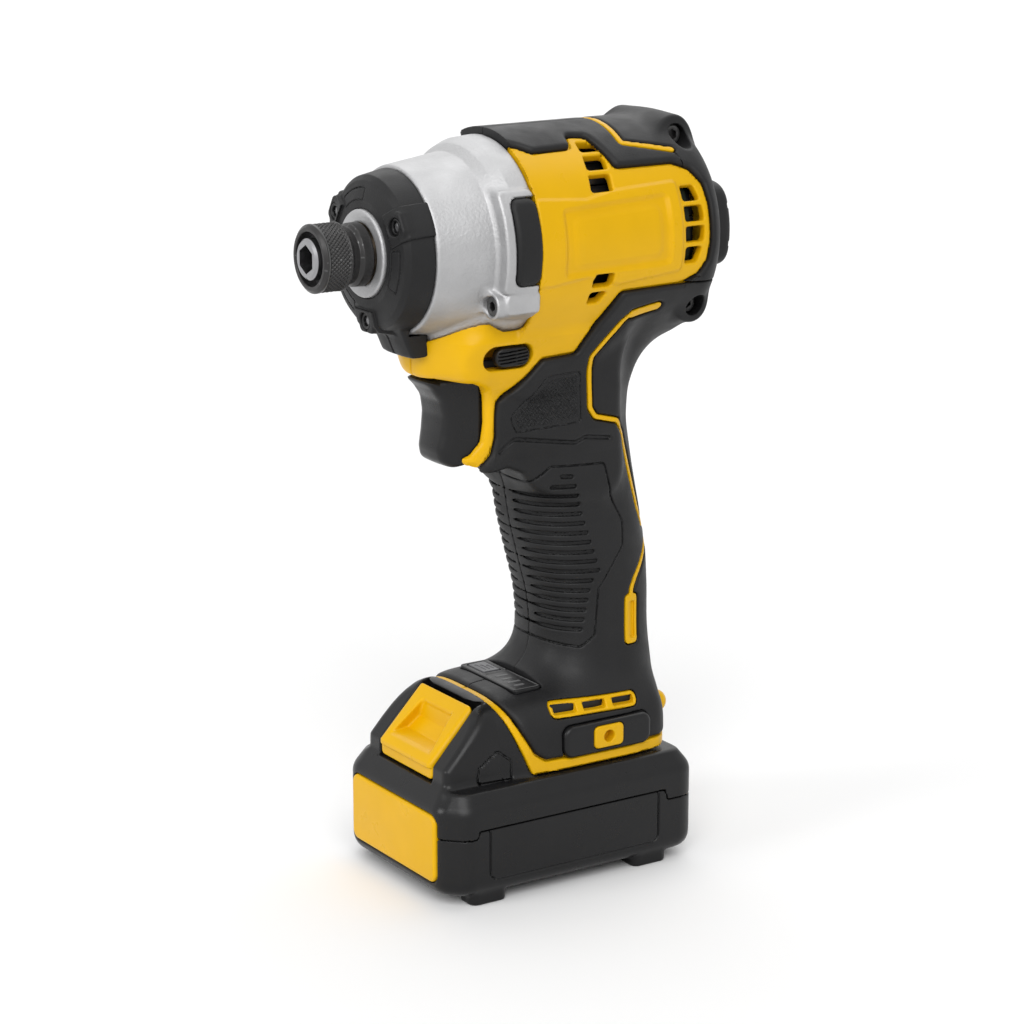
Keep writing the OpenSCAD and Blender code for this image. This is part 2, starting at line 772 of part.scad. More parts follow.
// Outer forms shared by the shells and their overmould
// Barrel whose rear edge is round, grown by a thickness or drawn in by a negative one
module barrel(grow, front) {
    turn = rear_round + grow;
    on_axis() rotate_extrude() {
        translate([0, front]) square([body_r + grow, body_back - rear_round - front]);
        translate([0, body_back - rear_round - over]) square([body_r - rear_round, turn + over]);
        intersection() {
            translate([body_r - rear_round, body_back - rear_round]) circle(turn);
            translate([body_r - rear_round - over, body_back - rear_round - over]) square(turn + over);
        }
    }
}

// Handle sections: level, front, back and half width as shares of the grip's drop, depth and half width
grip_shares = [
    [0.17, 0.575, 0.56, 0.8], [0.24, 0.58, 0.53, 0.86], [0.29, 0.59, 0.44, 0.92], [0.345, 0.6, 0.355, 0.95],
    [0.42, 0.6, 0.335, 0.97], [0.53, 0.545, 0.385, 1], [0.64, 0.49, 0.45, 1.02], [0.73, 0.42, 0.5, 1.02],
    [0.815, 0.35, 0.515, 1], [0.9, 0.325, 0.515, 1], [0.945, 0.36, 0.53, 1.06], [0.98, 0.5, 0.54, 1.24],
    [1.02, 0.66, 0.54, 1.36]
];
grip_power = 2.6;
section_points = 24;

// Closed skin through rings of points
module loft(rings) {
    n = len(rings);
    m = len(rings[0]);
    faces = [for (i = [0 : n - 2], j = [0 : m - 1]) let (a = i * m + j, b = i * m + (j + 1) % m)
        each [[a, b, b + m], [a, b + m, a + m]]];
    first = [for (j = [m - 1 : -1 : 0]) j];
    last = [for (j = [0 : m - 1]) (n - 1) * m + j];
    polyhedron([for (r = rings) each r], concat([first], faces, [last]), convexity = 6);
}

function bow(v, p) = sign(v) * pow(abs(v), 2 / p);

function grip_ring(row, inset) = let (
        front = grip_mid - row[1] * grip_depth + inset,
        back = grip_mid + row[2] * grip_depth - inset,
        half_w = row[3] * grip_half - inset)
    [for (k = [0 : section_points - 1]) let (a = 360 * k / section_points)
        [nose_x - (front + back) / 2 + bow(cos(a), grip_power) * (back - front) / 2,
         bow(sin(a), grip_power) * half_w,
         axis_h - row[0] * grip_drop]];

module grip_form(inset) {
    loft([for (row = grip_shares) grip_ring(row, inset)]);
}

// Foot sections: station, half width and top as shares of the foot's length, half width and height
foot_shares = [
    [0, 0.86, 0.06], [0.12, 0.96, 0.02], [0.35, 1, 0], [0.7, 1, 0], [0.9, 0.95, 0.08], [0.97, 0.84, 0.18],
    [1, 0.7, 0.3]
];
foot_power = 4;

function foot_ring(row, inset) = let (
        half_w = row[1] * foot_half - inset,
        top = foot_top - row[2] * foot_h - inset,
        rise = top - foot_bottom)
    [for (k = [0 : section_points]) let (a = 180 * k / section_points)
        [nose_x - foot_front - row[0] * (foot_len - inset),
         bow(cos(a), foot_power) * half_w,
         axis_h + foot_bottom + bow(sin(a), foot_power) * rise]];

module foot_form(inset) {
    loft([for (row = foot_shares) foot_ring(row, inset)]);
}

// Slanted front edge of the foot, also the back edge of the battery's dome
foot_lean = foot_h * 0.42;
function foot_edge(back) = [[foot_front - foot_lean, foot_top + foot_h],
    [foot_front + back, foot_top + foot_h], [foot_front + back, foot_top - foot_h * 0.06],
    [foot_front + foot_lean + back, foot_bottom - over], [foot_front - foot_lean, foot_bottom - over]];

// Chin, trigger frame and the web behind it
frame_front = case_back - grip_setback * 0.31;
frame_drop = chin_drop + trigger_h + wall * 0.4;
chin_front = bumper_back + wall * 0.6;

chin_back = case_back + wall * 3;

module chin(grow) {
    waist = -chin_drop * 0.66;
    brow = -case_front_r * 0.7;
    half_w = chin_half_w + grow;
    low_w = frame_half_w + grow;
    intersection() {
        translate([nose_x - grip_mid, 0, axis_h]) rotate([90, 0, 90]) linear_extrude(grip_mid - chin_front)
            polygon([[-half_w, brow], [-half_w, waist], [-low_w, -chin_drop], [low_w, -chin_drop], [half_w,
                waist],
                [half_w, brow]]);
        side_slab([[chin_front, 0], [chin_front, -tab_drop], [chin_front + wall, -chin_drop],
            [chin_back, -chin_drop], [grip_mid, waist], [grip_mid, 0]], -half_w, half_w);
    }
}

module frame_form(grow) {
    nose = frame_front - wall;
    under = -frame_drop;
    side_slab([[frame_front, -chin_drop + wall], [frame_front, under + wall * 1.8], [nose,
        under + wall * 0.8],
        [nose + wall * 0.5, under], [grip_mid - grip_depth * 0.6, under - wall * 0.5],
        [grip_mid - grip_depth * 0.5, under - wall * 2], [grip_mid, under - wall * 2], [grip_mid,
            -chin_drop + wall]],
        -frame_half_w - grow, frame_half_w + grow);
}

// Boundary between the yellow shell and the soft grip, as shares of the grip's depth and the barrel's radius
grip_edge_shares = [
    [0.58, -0.36], [0.5, -0.41], [-0.03, -0.42], [-0.14, -0.67], [-0.28, -1], [-0.55, -1]
];
// The same boundary down the trigger frame, as shares of the wall and the barrel's radius
frame_edge_shares = [[1, -1.34], [0.52, -1.42], [0.52, -1.74], [-1, -1.94], [-2.25, -2.2]];
function grip_edge() = concat(
    [for (s = grip_edge_shares) [grip_mid + s[0] * grip_depth, s[1] * body_r]],
    [for (s = frame_edge_shares) [frame_front + s[0] * wall, s[1] * body_r]]);
function grip_region() = concat(grip_edge(), [
    [foot_front - wall, foot_top - foot_h * 0.02], [foot_front + foot_lean * 0.24, foot_top - foot_h * 0.1],
    [foot_front + foot_lean * 0.9, foot_bottom + band_h], [foot_front + foot_len * 1.1, foot_bottom + band_h],
    [foot_front + foot_len * 1.2, -grip_depth], [tool_len, -grip_depth], [tool_len, -body_r * 0.36]]);

// Edge of the soft pads along the top, as shares of the barrel's length and radius
top_edge_shares = [
    [0.09, 0.85], [0.32, 0.85], [0.37, 0.92], [0.455, 0.89], [0.495, 0.68], [0.9, 0.68]
];
function top_region() = concat(
    [for (s = top_edge_shares) [case_back + s[0] * body_len, s[1] * body_r]],
    [[case_back + body_len * 0.9, soft_r + wall], [case_back + body_len * 0.02, soft_r + wall],
    [case_back + body_len * 0.02, body_r * 0.96]]);

// Edge of the rear cap round the end of the yellow window, as shares of the rear rounding and the barrel
cap_edge_shares = [
    [0, 0.68], [0.3, 0.6], [0.46, 0.4], [0.5, 0.12], [0.46, -0.16], [0.3, -0.34], [0, -0.42]
];
function cap_region() = concat(
    [for (s = cap_edge_shares) [cap_front + s[0] * rear_round, s[1] * body_r]],
    [[cap_front, -soft_r - rear_round], [tool_len, -soft_r - rear_round], [tool_len, soft_r + rear_round],
    [cap_front, soft_r + rear_round]]);

// Openings through the shells
upper_vents_shares = [[0.4, 0.86], [0.405, 0.72], [0.41, 0.56]];
lower_vents_shares = [[0.37, -0.3], [0.36, -0.47]];
rear_vents_shares = [0.4, 0.22, 0.04, -0.14];

module vents() {
    both_sides() {
        for (s = concat(upper_vents_shares, lower_vents_shares)) let (
                at = case_back + s[0] * body_len - vent_w / 2,
                level = s[1] * body_r)
            block([at, at + vent_w], [level - vent_h / 2, level + vent_h / 2], [body_r * 0.3, soft_r]);
        for (s = rear_vents_shares) let (at = cap_front - vent_w * 0.55, level = s * body_r)
            block([at, at + vent_w], [level - vent_h / 2, level + vent_h / 2], [body_r * 0.7, soft_r]);
    }
}

trigger_top = -chin_drop - run;
trigger_bottom = trigger_top - trigger_h;
trigger_back = frame_front + trigger_travel * 0.1;
lever_station = case_back - lever_len * 0.25;
lever_level = -chin_drop + lever_h * 1.28;
tower_half = foot_half * 0.78;
tower_top = foot_bottom + foot_h * 0.66;
rail_half = tower_half - wall;
rail_level = foot_bottom + foot_h * 0.22;
terminal_front = grip_mid - grip_depth * 0.34;
terminal_back = grip_mid + grip_depth * 0.15;
terminal_top = foot_top - skin * 1.8;
terminal_half = rail_half * 0.72;
hook_station = grip_mid - grip_depth * 0.1;
hook_level = foot_bottom + foot_h * 0.36;
hook_plate_len = grip_depth * 0.7;
hook_plate_h = foot_h * 0.42;
insert_len = hook_plate_len * 0.34;
panel_back = foot_front + foot_len * 0.32;
screw_stations = [grip_mid - grip_depth * 0.12, grip_mid + grip_depth * 0.35, grip_mid + grip_depth * 0.2];
screw_levels = [-grip_drop * 0.25, -grip_drop * 0.56, -grip_drop * 0.86];
screw_head_r = shell_screw_r * 1.8;

module battery_channel() {
    block([foot_front - foot_len, foot_front + foot_len * 0.86], [rail_level, tower_top + slip],
        [-tower_half - slip, tower_half + slip]);
    block([foot_front - foot_len, foot_front + foot_len * 0.86], [foot_bottom - over, rail_level + slip],
        [-rail_half - slip, rail_half + slip]);
    side_slab(foot_edge(slip), -foot_half * 2, foot_half * 2);
}

module inner_space() {
    ring(barrel_bore, 0, case_back - over, stator_front + case_wall);
    ring(stator_r + fit, 0, case_back, stator_back - case_wall);
    ring(barrel_bore, 0, stator_front + case_wall * 2.4, stator_back - case_wall * 2.4);
    difference() {
        barrel(-wall, stator_back - case_wall);
        ring(bearing_r + case_wall, bearing_r + fit, rear_bearing_front, body_back);
    }
    disc(case_band_r + run, 0, case_back + fit);
    intersection() {
        grip_form(skin + wall);
        block([grip_mid - grip_depth, grip_mid + grip_depth], [foot_bottom, -body_r], [-grip_w, grip_w]);
    }
    block([frame_front - wall * 3, grip_mid - grip_depth * 0.2], [trigger_bottom - run, trigger_top + run],
        [-trigger_half_w - slip, trigger_half_w + slip]);
    block([terminal_front, terminal_back], [tower_top, terminal_top], [-terminal_half, terminal_half]);
}

// Push-through direction lever: a bridge under the gear case with a paddle at each end
bridge_h = (chin_drop - case_band_r) * 0.5;
bridge_top = -case_band_r - run * 2;
paddle_in = chin_half_w * 0.9;
paddle_out = chin_half_w * 1.05;

module lever_form(grow, reach) {
    both_sides() side_plate(
        [lever_station - lever_len / 2 - grow, lever_station + lever_len / 2 + grow],
        [lever_level - lever_h / 2 - grow, lever_level + lever_h / 2 + grow],
        [paddle_in - reach - grow, paddle_out + reach], lever_h / 2 + grow - fit);
    block([lever_station - lever_h - grow, lever_station + lever_h + grow],
        [bridge_top - bridge_h - grow, bridge_top + grow], [-paddle_in - reach - fit,
            paddle_in + reach + fit]);
}

module lever_space() {
    lever_form(slip, lever_travel);
}

// Control panel's outline, seated in the top of the foot
panel_floor = foot_top - skin - wall / 2;

module panel_shape(grow, low, high) {
    flat_plate([panel_back - panel_len - grow, panel_back + grow], panel_w / 2 + grow, [low, high], wall / 2);
}

// Recesses for the hook plates and their inserts
plate_floor = foot_half - skin;
plate_out = foot_half + skin / 2;
insert_floor = plate_out + skin / 2 - hook_hole_depth - wall / 2;
insert_out = plate_out + skin / 2;

module hook_plate_shape(grow, inner, outer) {
    side_plate([hook_station - hook_plate_len / 2 - grow, hook_station + hook_plate_len / 2 + grow],
        [hook_level - hook_plate_h / 2 - grow, hook_level + hook_plate_h / 2 + grow], [inner, outer], wall);
}

module hook_insert_shape(grow, inner, outer) {
    insert_h = hook_plate_h * 0.72;
    side_plate([hook_station - insert_len / 2 - grow, hook_station + insert_len / 2 + grow],
        [hook_level - insert_h / 2 - grow, hook_level + insert_h / 2 + grow], [inner, outer], wall / 2);
}

module hook_recess() {
    both_sides() {
        hook_plate_shape(fit, plate_floor, foot_w);
        hook_insert_shape(fit, insert_floor, foot_w);
    }
}

module shell_screw_holes() {
    for (k = [0 : len(screw_stations) - 1]) {
        cross_pin(screw_stations[k], screw_levels[k], shell_screw_r + fit, -grip_w, grip_half * 0.5);
        cross_pin(screw_stations[k], screw_levels[k], screw_head_r + run, -grip_w, -grip_half * 0.75);
    }
}

module shell_screw_posts() {
    for (k = [0 : len(screw_stations) - 1])
        cross_pin(screw_stations[k], screw_levels[k], screw_head_r + wall / 2, -grip_half * 0.9,
            grip_half * 0.9);
}

module shells() {
    difference() {
        union() {
            barrel(0, case_back + fit);
            chin(0);
            frame_form(0);
            grip_form(skin);
            foot_form(skin);
            both_sides() rod(ear_level, ear_left, ear_r, case_back + fit, plate_front);
        }
        difference() {
            inner_space();
            shell_screw_posts();
        }
        battery_channel();
        vents();
        both_sides() rod(ear_level, ear_left, case_screw_r + fit, case_back - over, plate_front + over);
        lever_space();
        hook_recess();
        panel_shape(fit, panel_floor, foot_top + skin);
        shell_screw_holes();
        rear_screw_cuts();
    }
}

module housing_left() {
    color([0.97, 0.73, 0.02]) half(1) shells();
}

module housing_right() {
    color([0.97, 0.73, 0.02]) half(-1) shells();
}

module soft_form() {
    disc(soft_r, case_back + fit, cap_front);
    chin(skin);
    frame_form(skin);
    grip_form(0);
    foot_form(0);
}

module hard_form() {
    barrel(0, 0);
    chin(0);
    frame_form(0);
    grip_form(skin);
    foot_form(skin);
}

module grip() {
    color([0.14, 0.14, 0.15]) difference() {
        intersection() {
            soft_form();
            side_slab(grip_region(), -axis_h, axis_h);
        }
        hard_form();
        battery_channel();
        lever_space();
        hook_recess();
        panel_shape(fit, panel_floor, foot_top + foot_h * 0.3);
        shell_screw_holes();
    }
}

module grip_left() {
    half(1) grip();
}

module grip_right() {
    half(-1) grip();
}

module top_pad() {
    color([0.14, 0.14, 0.15]) intersection() {
        ring(soft_r, body_r, case_back + fit, cap_front);
        side_slab(top_region(), -axis_h, axis_h);
    }
}

module top_pad_left() {
    half(1) top_pad();
}

module top_pad_right() {
    half(-1) top_pad();
}

// Rear cap with its screw bosses and bumper
boss_stations = [cap_front + skin * 4.4, cap_front + skin * 4.8];
boss_levels = [body_r * 0.88, -body_r * 0.66];
boss_radii = [body_r * 0.19, body_r * 0.16];
boss_halves = [body_r * 0.44, body_r * 0.66];

module tail_shape(grow, front, back) {
    on_axis() translate([0, 0, front]) linear_extrude(back - front) intersection() {
        circle(tail_r + grow);
        square([tail_h + grow * 2, tail_r * 3], center = true);
    }
}

module rear_screw_cuts() {
    for (k = [0, 1]) {
        cross_pin(boss_stations[k], boss_levels[k], shell_screw_r, -boss_halves[k] * 0.8,
            boss_halves[k] + over);
        cross_pin(boss_stations[k], boss_levels[k], screw_head_r + run, boss_halves[k] * 0.75, axis_h);
    }
}

module rear_cap() {
    color([0.13, 0.13, 0.14]) difference() {
        union() {
            intersection() {
                barrel(skin, cap_front);
                side_slab(cap_region(), -axis_h, axis_h);
            }
            for (k = [0, 1])
                cross_pin(boss_stations[k], boss_levels[k], boss_radii[k], -boss_halves[k], boss_halves[k]);
        }
        disc(soft_r + fit, 0, cap_front);
        barrel(0, 0);
        grip_form(0);
        tail_shape(fit, body_back, tool_len + over);
        rear_screw_cuts();
    }
}

module tail_bumper() {
    color([0.1, 0.1, 0.11]) tail_shape(0, body_back + fit, tool_len);
}

// Round screw with a hex socket, its head at one end
module shell_screw(station, level, from, to) {
    head_len = shell_screw_r * 1.6;
    side = sign(from - to);
    low = min(from, from - side * head_len);
    color([0.12, 0.12, 0.13]) difference() {
        union() {
            cross_pin(station, level, screw_head_r, low, low + head_len);
            cross_pin(station, level, shell_screw_r - fit, min(from, to), max(from, to));
        }
        translate([nose_x - station, from - side * head_len * 0.55, axis_h + level]) rotate([-90 * side, 0,
            0])
            cylinder(r = shell_screw_r, h = head_len, $fn = 6);
    }
}

module shell_screws() {
    for (k = [0 : len(screw_stations) - 1])
        shell_screw(screw_stations[k], screw_levels[k], -grip_half * 0.75 - shell_screw_r * 1.6,
            grip_half * 0.45);
    for (k = [0, 1])
        shell_screw(boss_stations[k], boss_levels[k],
            boss_halves[k] * 0.75 + shell_screw_r * 1.6, -boss_halves[k] * 0.75);
}

// Trigger and switch; the outline holds shares of the trigger's depth and height
trigger_shares = [
    [1, 0], [0.92, 0.12], [0.74, 0.32], [0.67, 0.5], [0.71, 0.7], [0.8, 0.86], [0.74, 0.96], [0.55, 1], [0,
        1],
    [0, 0]
];
stem_half = trigger_half_w * 0.7;
spring_r = trigger_half_w * 0.4;
trigger_wire_r = trigger_half_w * 0.06;
pocket_station = trigger_back - trigger_depth * 0.45;
stem_back = trigger_back + wall;
switch_front = stem_back + trigger_travel + slip;
switch_back = grip_mid - grip_depth * 0.22;
spring_level = trigger_top - trigger_h * 0.42;

module trigger() {
    color([0.1, 0.1, 0.11]) difference() {
        union() {
            intersection() {
                side_slab([for (s = trigger_shares)
                    [trigger_back - s[0] * trigger_depth, trigger_top - s[1] * trigger_h]],
                    -trigger_half_w, trigger_half_w);
                flat_plate([trigger_back - trigger_depth, trigger_back + trigger_depth], trigger_half_w,
                    [trigger_bottom, trigger_top], trigger_half_w * 0.8);
            }
            block([trigger_back - over, stem_back], [trigger_bottom + wall, trigger_top - wall],
                [-stem_half, stem_half]);
        }
        rod(spring_level, 0, spring_r + trigger_wire_r + run, pocket_station, stem_back + over);
    }
}

module trigger_spring() {
    color("gray") on_axis() translate([spring_level, 0, pocket_station + fit])
        coil(5, spring_r, switch_front - pocket_station - fit * 2, trigger_wire_r);
}

module switch_body() {
    color([0.18, 0.18, 0.2]) block([switch_front, switch_back], [trigger_bottom, trigger_top],
        [-trigger_half_w - slip + fit, trigger_half_w + slip - fit]);
}

module direction_lever() {
    color([0.08, 0.08, 0.09]) lever_form(0, 0);
}

// Electronics
module control_module() {
    board_half = (grip_half - skin - wall) * 0.88;
    color([0.1, 0.25, 0.2]) block([grip_mid - grip_depth * 0.1, grip_mid + grip_depth * 0.22],
        [-grip_drop * 0.82, -grip_drop * 0.65], [-board_half, board_half]);
}

module terminal_block() {
    color([0.15, 0.15, 0.17]) block([terminal_front + fit, terminal_back - fit],
        [tower_top + slip * 2, terminal_top - fit], [-terminal_half + fit, terminal_half - fit]);
}

panel_top = foot_top + skin / 4;
button_len = panel_len * 0.6;
button_out = panel_w * 0.44;
button_in = panel_w * 0.14;

module button_shape(grow, low, high) {
    mid = panel_back - panel_len / 2;
    block([mid - button_len / 2 - grow, mid + button_len / 2 + grow], [low, high],
        [-button_out - grow, -button_in + grow]);
}

module control_panel() {
    color([0.12, 0.12, 0.13]) difference() {
        panel_shape(0, panel_floor + fit, panel_top);
        button_shape(slip, foot_top - skin, axis_h);
    }
}

module mode_button() {
    color([0.25, 0.25, 0.27]) button_shape(0, foot_top - skin + button_travel + fit * 2,
        panel_top + button_travel / 2);
}

// Hook seats on the sides of the foot
module hook_plates() {
    color([0.12, 0.12, 0.13]) both_sides() difference() {
        hook_plate_shape(0, plate_floor + fit, plate_out);
        hook_insert_shape(fit, insert_floor, foot_w);
    }
}

module hook_inserts() {
    color([0.97, 0.73, 0.02]) both_sides() difference() {
        hook_insert_shape(0, insert_floor + fit, insert_out);
        cross_pin(hook_station, hook_level, hook_hole_r, insert_out - hook_hole_depth, insert_out + over);
    }
}

// Battery
pack_front = foot_front - foot_len * 0.36;
pack_len = cell_len + cell_end * 2;
pack_back = pack_front + pack_len;
pack_half = cell_left + cell_r + fit + pack_wall;
pack_w = pack_half * 2;
dome_half = foot_half * 0.88;
dome_front = pack_front + pack_corner_r * 0.57;
dome_brow = foot_bottom + foot_h * 0.26;
dome_peak = foot_top - foot_h * 0.14;
peak_station = foot_front - foot_lean * 0.42;
tower_back = foot_front + foot_len * 0.86 - slip;
column_r = pack_wall * 0.8;
column_inset = pack_wall + column_r * 0.9;
column_half = pack_half * 0.62;
pack_screw_r = pack_wall * 0.45;
shoulder_h = pack_wall * 1.9;
shoulder_in = pack_wall * 1.4;
dome_top_half = dome_half * 0.74;
cell_front = pack_front + (pack_len - cell_len) / 2;
cell_level = case_bottom + pack_wall + cell_r;

module pack_form(inset, low, high) {
    flat_plate([pack_front + inset, pack_back - inset], pack_half - inset, [low, high],
        pack_corner_r - inset);
}

module pack_columns(r, low, high) {
    for (station = [pack_front + column_inset, pack_back - column_inset], left = [-column_half, column_half])
        translate([nose_x - station, left, axis_h + low]) cylinder(r = r, h = high - low);
}

module front_panel_shape(grow, depth) {
    low = case_bottom + pack_case_h * 0.22;
    high = seam_level + pack_cover_h * 0.5;
    half_w = front_panel_w / 2 + grow;
    on_axis() translate([low - grow, -half_w, pack_front - over]) linear_extrude(depth + over)
        rounded(high - low + grow * 2, half_w * 2, wall);
}

module battery_case() {
    color([0.12, 0.12, 0.13]) difference() {
        union() {
            difference() {
                pack_form(0, case_bottom, seam_level);
                pack_form(pack_wall, case_bottom + pack_wall, seam_level + over);
            }
            pack_columns(column_r, case_bottom + fit, seam_level);
            pack_feet();
        }
        pack_columns(pack_screw_r, case_bottom - over, seam_level + over);
        pack_columns(column_r, case_bottom - over, case_bottom + pack_wall * 0.6);
        front_panel_shape(fit, front_panel_t);
    }
}

foot_pad_len = pack_len * 0.14;
foot_pad_w = pack_w * 0.13;

module pack_feet() {
    for (station = [pack_front + pack_len * 0.1, pack_back - pack_len * 0.24], side = [-1, 1])
        translate([nose_x - station - foot_pad_len, side * (pack_half - foot_pad_w * 0.7) - foot_pad_w / 2,
            0])
            linear_extrude(pack_foot_h + pack_wall / 2) rounded(foot_pad_len, foot_pad_w, foot_pad_w / 3);
}

module dome_form(inset) {
    base = cover_top - pack_wall;
    half_w = dome_half - inset;
    top_w = dome_top_half - inset;
    intersection() {
        side_slab([[dome_front + inset, base], [dome_front + inset, dome_brow - inset * 0.4],
            [peak_station + inset * 0.4, dome_peak - inset], [foot_front - inset,
                foot_top - foot_h * 0.06 - inset],
            [foot_front + foot_lean * 1.01, base]], -half_w, half_w);
        translate([nose_x - foot_front - foot_lean * 2, 0, axis_h]) rotate([90, 0, 90])
            linear_extrude(foot_front + foot_lean * 2)
            polygon([[-half_w, base], [-half_w, dome_brow - shoulder_h], [-top_w, dome_peak], [-top_w,
                foot_top],
                [top_w, foot_top], [top_w, dome_peak], [half_w, dome_brow - shoulder_h], [half_w, base]]);
    }
}

module tower(inset) {
    block([foot_front, tower_back - inset], [rail_level + slip, tower_top - inset],
        [-tower_half + inset, tower_half - inset]);
    block([foot_front, tower_back - inset], [cover_top - pack_wall - over, rail_level + slip + over],
        [-rail_half + inset, rail_half - inset]);
}

// Latch: a scooped button on the dome's sloping front, pushed straight back
latch_front = dome_front - skin / 2;
latch_wall = pack_wall * 1.2;
latch_low = cover_top + wall * 0.3;
latch_back = latch_front + latch_wall;
pocket_back = latch_back + latch_travel + wall;

function latch_outline(push, grow) = [
    [latch_front - grow * 4, latch_low - grow], [latch_front - grow * 4, dome_brow + grow],
    [peak_station - wall - grow * 4, dome_peak - wall + grow],
    [peak_station - wall + latch_wall + push + grow, dome_peak - wall + grow],
    [latch_back + push + grow, dome_brow - latch_wall * 0.7 + grow], [latch_back + push + grow,
        latch_low - grow]];

module battery_latch() {
    color([0.97, 0.73, 0.02]) side_slab(latch_outline(0, 0), -latch_half_w, latch_half_w);
}

latch_spring_level = latch_low + wall * 0.6;

module latch_spring() {
    color("gray") on_axis() translate([latch_spring_level, 0, latch_back + fit])
        coil(4, wall * 0.45, pocket_back + slip - latch_back - fit * 2, wall * 0.08);
}

module battery_cover() {
    color([0.12, 0.12, 0.13]) difference() {
        union() {
            pack_form(0, seam_level, cover_top - shoulder_h);
            pack_form(shoulder_in, seam_level, cover_top);
            dome_form(0);
            tower(0);
        }
        difference() {
            union() {
                pack_form(pack_wall, seam_level - over, cover_top - shoulder_h - pack_wall);
                pack_form(shoulder_in + pack_wall, seam_level, cover_top - pack_wall);
                tower(pack_wall);
                dome_form(pack_wall);
            }
            side_slab(latch_outline(pocket_back - latch_back + pack_wall, fit),
                -latch_half_w - pack_wall, latch_half_w + pack_wall);
            pack_columns(column_r, seam_level, cover_top);
        }
        side_slab(latch_outline(pocket_back - latch_back, slip), -latch_half_w - slip, latch_half_w + slip);
        pack_columns(pack_screw_r, seam_level - over, cover_top - shoulder_h - pack_wall * 0.4);
        front_panel_shape(fit, front_panel_t);
    }
}

module battery_panel() {
    color([0.97, 0.73, 0.02]) intersection() {
        front_panel_shape(0, front_panel_t - fit);
        pack_form(0, case_bottom, cover_top);
    }
}

module battery_cells() {
    color("lightsteelblue") {
        for (left = [-cell_left, cell_left]) rod(cell_level, left, cell_r, cell_front, cell_front + cell_len);
        rod(cell_level + nest_rise, 0, cell_r, cell_front, cell_front + cell_len);
    }
}

module battery_board() {
    top = tower_top - pack_wall;
    color("seagreen") block([foot_front + foot_lean * 2, tower_back - pack_wall - run], [top - pack_wall,
        top - fit],
        [-tower_half + pack_wall + run, tower_half - pack_wall - run]);
}

module battery_screws() {
    head_h = pack_wall * 0.5;
    color("dimgray") {
        pack_columns(pack_screw_r - fit, case_bottom + pack_wall * 0.6 - head_h,
            cover_top - shoulder_h - pack_wall * 0.5);
        pack_columns(column_r - fit, case_bottom + pack_wall * 0.6 - head_h, case_bottom + pack_wall * 0.6);
    }
}

anvil();
collar();
collar_spring();
collar_ring();
bit_ball();
nose_bush();
gear_case();
nose_bumper();
nose_lenses();
light_board();
hammer();
hammer_spring();
cam_balls();
spindle();
planet_pins();
planet_gear_1();
planet_gear_2();
planet_gear_3();
ring_gear();
sun_pinion();
bearing_plate();
spindle_bearing();
front_bearing();
rear_bearing();
rotor();
fan();
stator();
windings();
sensor_board();
gear_case_screws();
side_pads();
housing_left();
housing_right();
top_pad_left();
top_pad_right();
grip_left();
grip_right();
rear_cap();
tail_bumper();
shell_screws();
trigger();
trigger_spring();
switch_body();
direction_lever();
control_module();
terminal_block();
control_panel();
mode_button();
hook_plates();
hook_inserts();
battery_case();
battery_cover();
battery_panel();
battery_latch();
latch_spring();
battery_cells();
battery_board();
battery_screws();
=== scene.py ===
"""Compact cordless impact driver: the pieces that show, their finishes, the stage and the camera.

Shapes are signed distance fields in millimetres over (s, y, h): s is the station back from the tip of the
anvil, y the distance to the tool's left and h the level above the drive axis.
"""
import functools
import json
import math

import bpy
import numpy as np
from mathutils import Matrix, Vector


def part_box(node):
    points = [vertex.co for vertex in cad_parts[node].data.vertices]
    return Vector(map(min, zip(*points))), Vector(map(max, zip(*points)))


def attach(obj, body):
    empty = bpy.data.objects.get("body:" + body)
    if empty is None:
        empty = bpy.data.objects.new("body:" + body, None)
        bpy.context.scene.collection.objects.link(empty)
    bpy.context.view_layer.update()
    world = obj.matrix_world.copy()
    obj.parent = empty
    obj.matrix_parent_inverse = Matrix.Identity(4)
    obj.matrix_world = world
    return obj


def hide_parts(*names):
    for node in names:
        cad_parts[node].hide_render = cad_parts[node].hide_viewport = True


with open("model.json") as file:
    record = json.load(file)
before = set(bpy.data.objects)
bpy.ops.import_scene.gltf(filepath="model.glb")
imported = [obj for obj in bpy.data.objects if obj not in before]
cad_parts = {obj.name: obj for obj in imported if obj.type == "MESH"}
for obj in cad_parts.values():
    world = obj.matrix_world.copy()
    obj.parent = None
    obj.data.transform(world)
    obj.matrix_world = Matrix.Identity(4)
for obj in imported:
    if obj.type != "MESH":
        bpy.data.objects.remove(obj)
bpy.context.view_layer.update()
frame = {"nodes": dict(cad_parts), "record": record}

MM = 0.001
FAR = 1e9
# Cells along a block of the mesher's grid, and how many blocks and places it works out at a time
BLOCK = 8
CHUNK = 300
PLACES = 200000


# Places taken from the frame
def span(node):
    """Station, offset and level ranges of a CAD node, in millimetres."""
    lo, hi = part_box(node)
    return (
        (NOSE_X - hi.x / MM, NOSE_X - lo.x / MM),
        (lo.y / MM, hi.y / MM),
        (lo.z / MM - AXIS_Z, hi.z / MM - AXIS_Z),
    )


SLOTS = {part["node"]: part["material_slot"] for part in frame["record"]["subparts"]}
NOSE_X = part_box("anvil")[1].x / MM
AXIS_Z = (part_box("stator")[0].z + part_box("stator")[1].z) / 2 / MM

BODY_R = span("housing_left")[1][1]
SOFT_R = span("top_pad_left")[2][1]
SKIN = SOFT_R - BODY_R
CASE_BACK = span("side_pads")[0][1]
BODY_BACK = span("rear_cap")[0][1] - SKIN
TOOL_LEN = span("tail_bumper")[0][1]
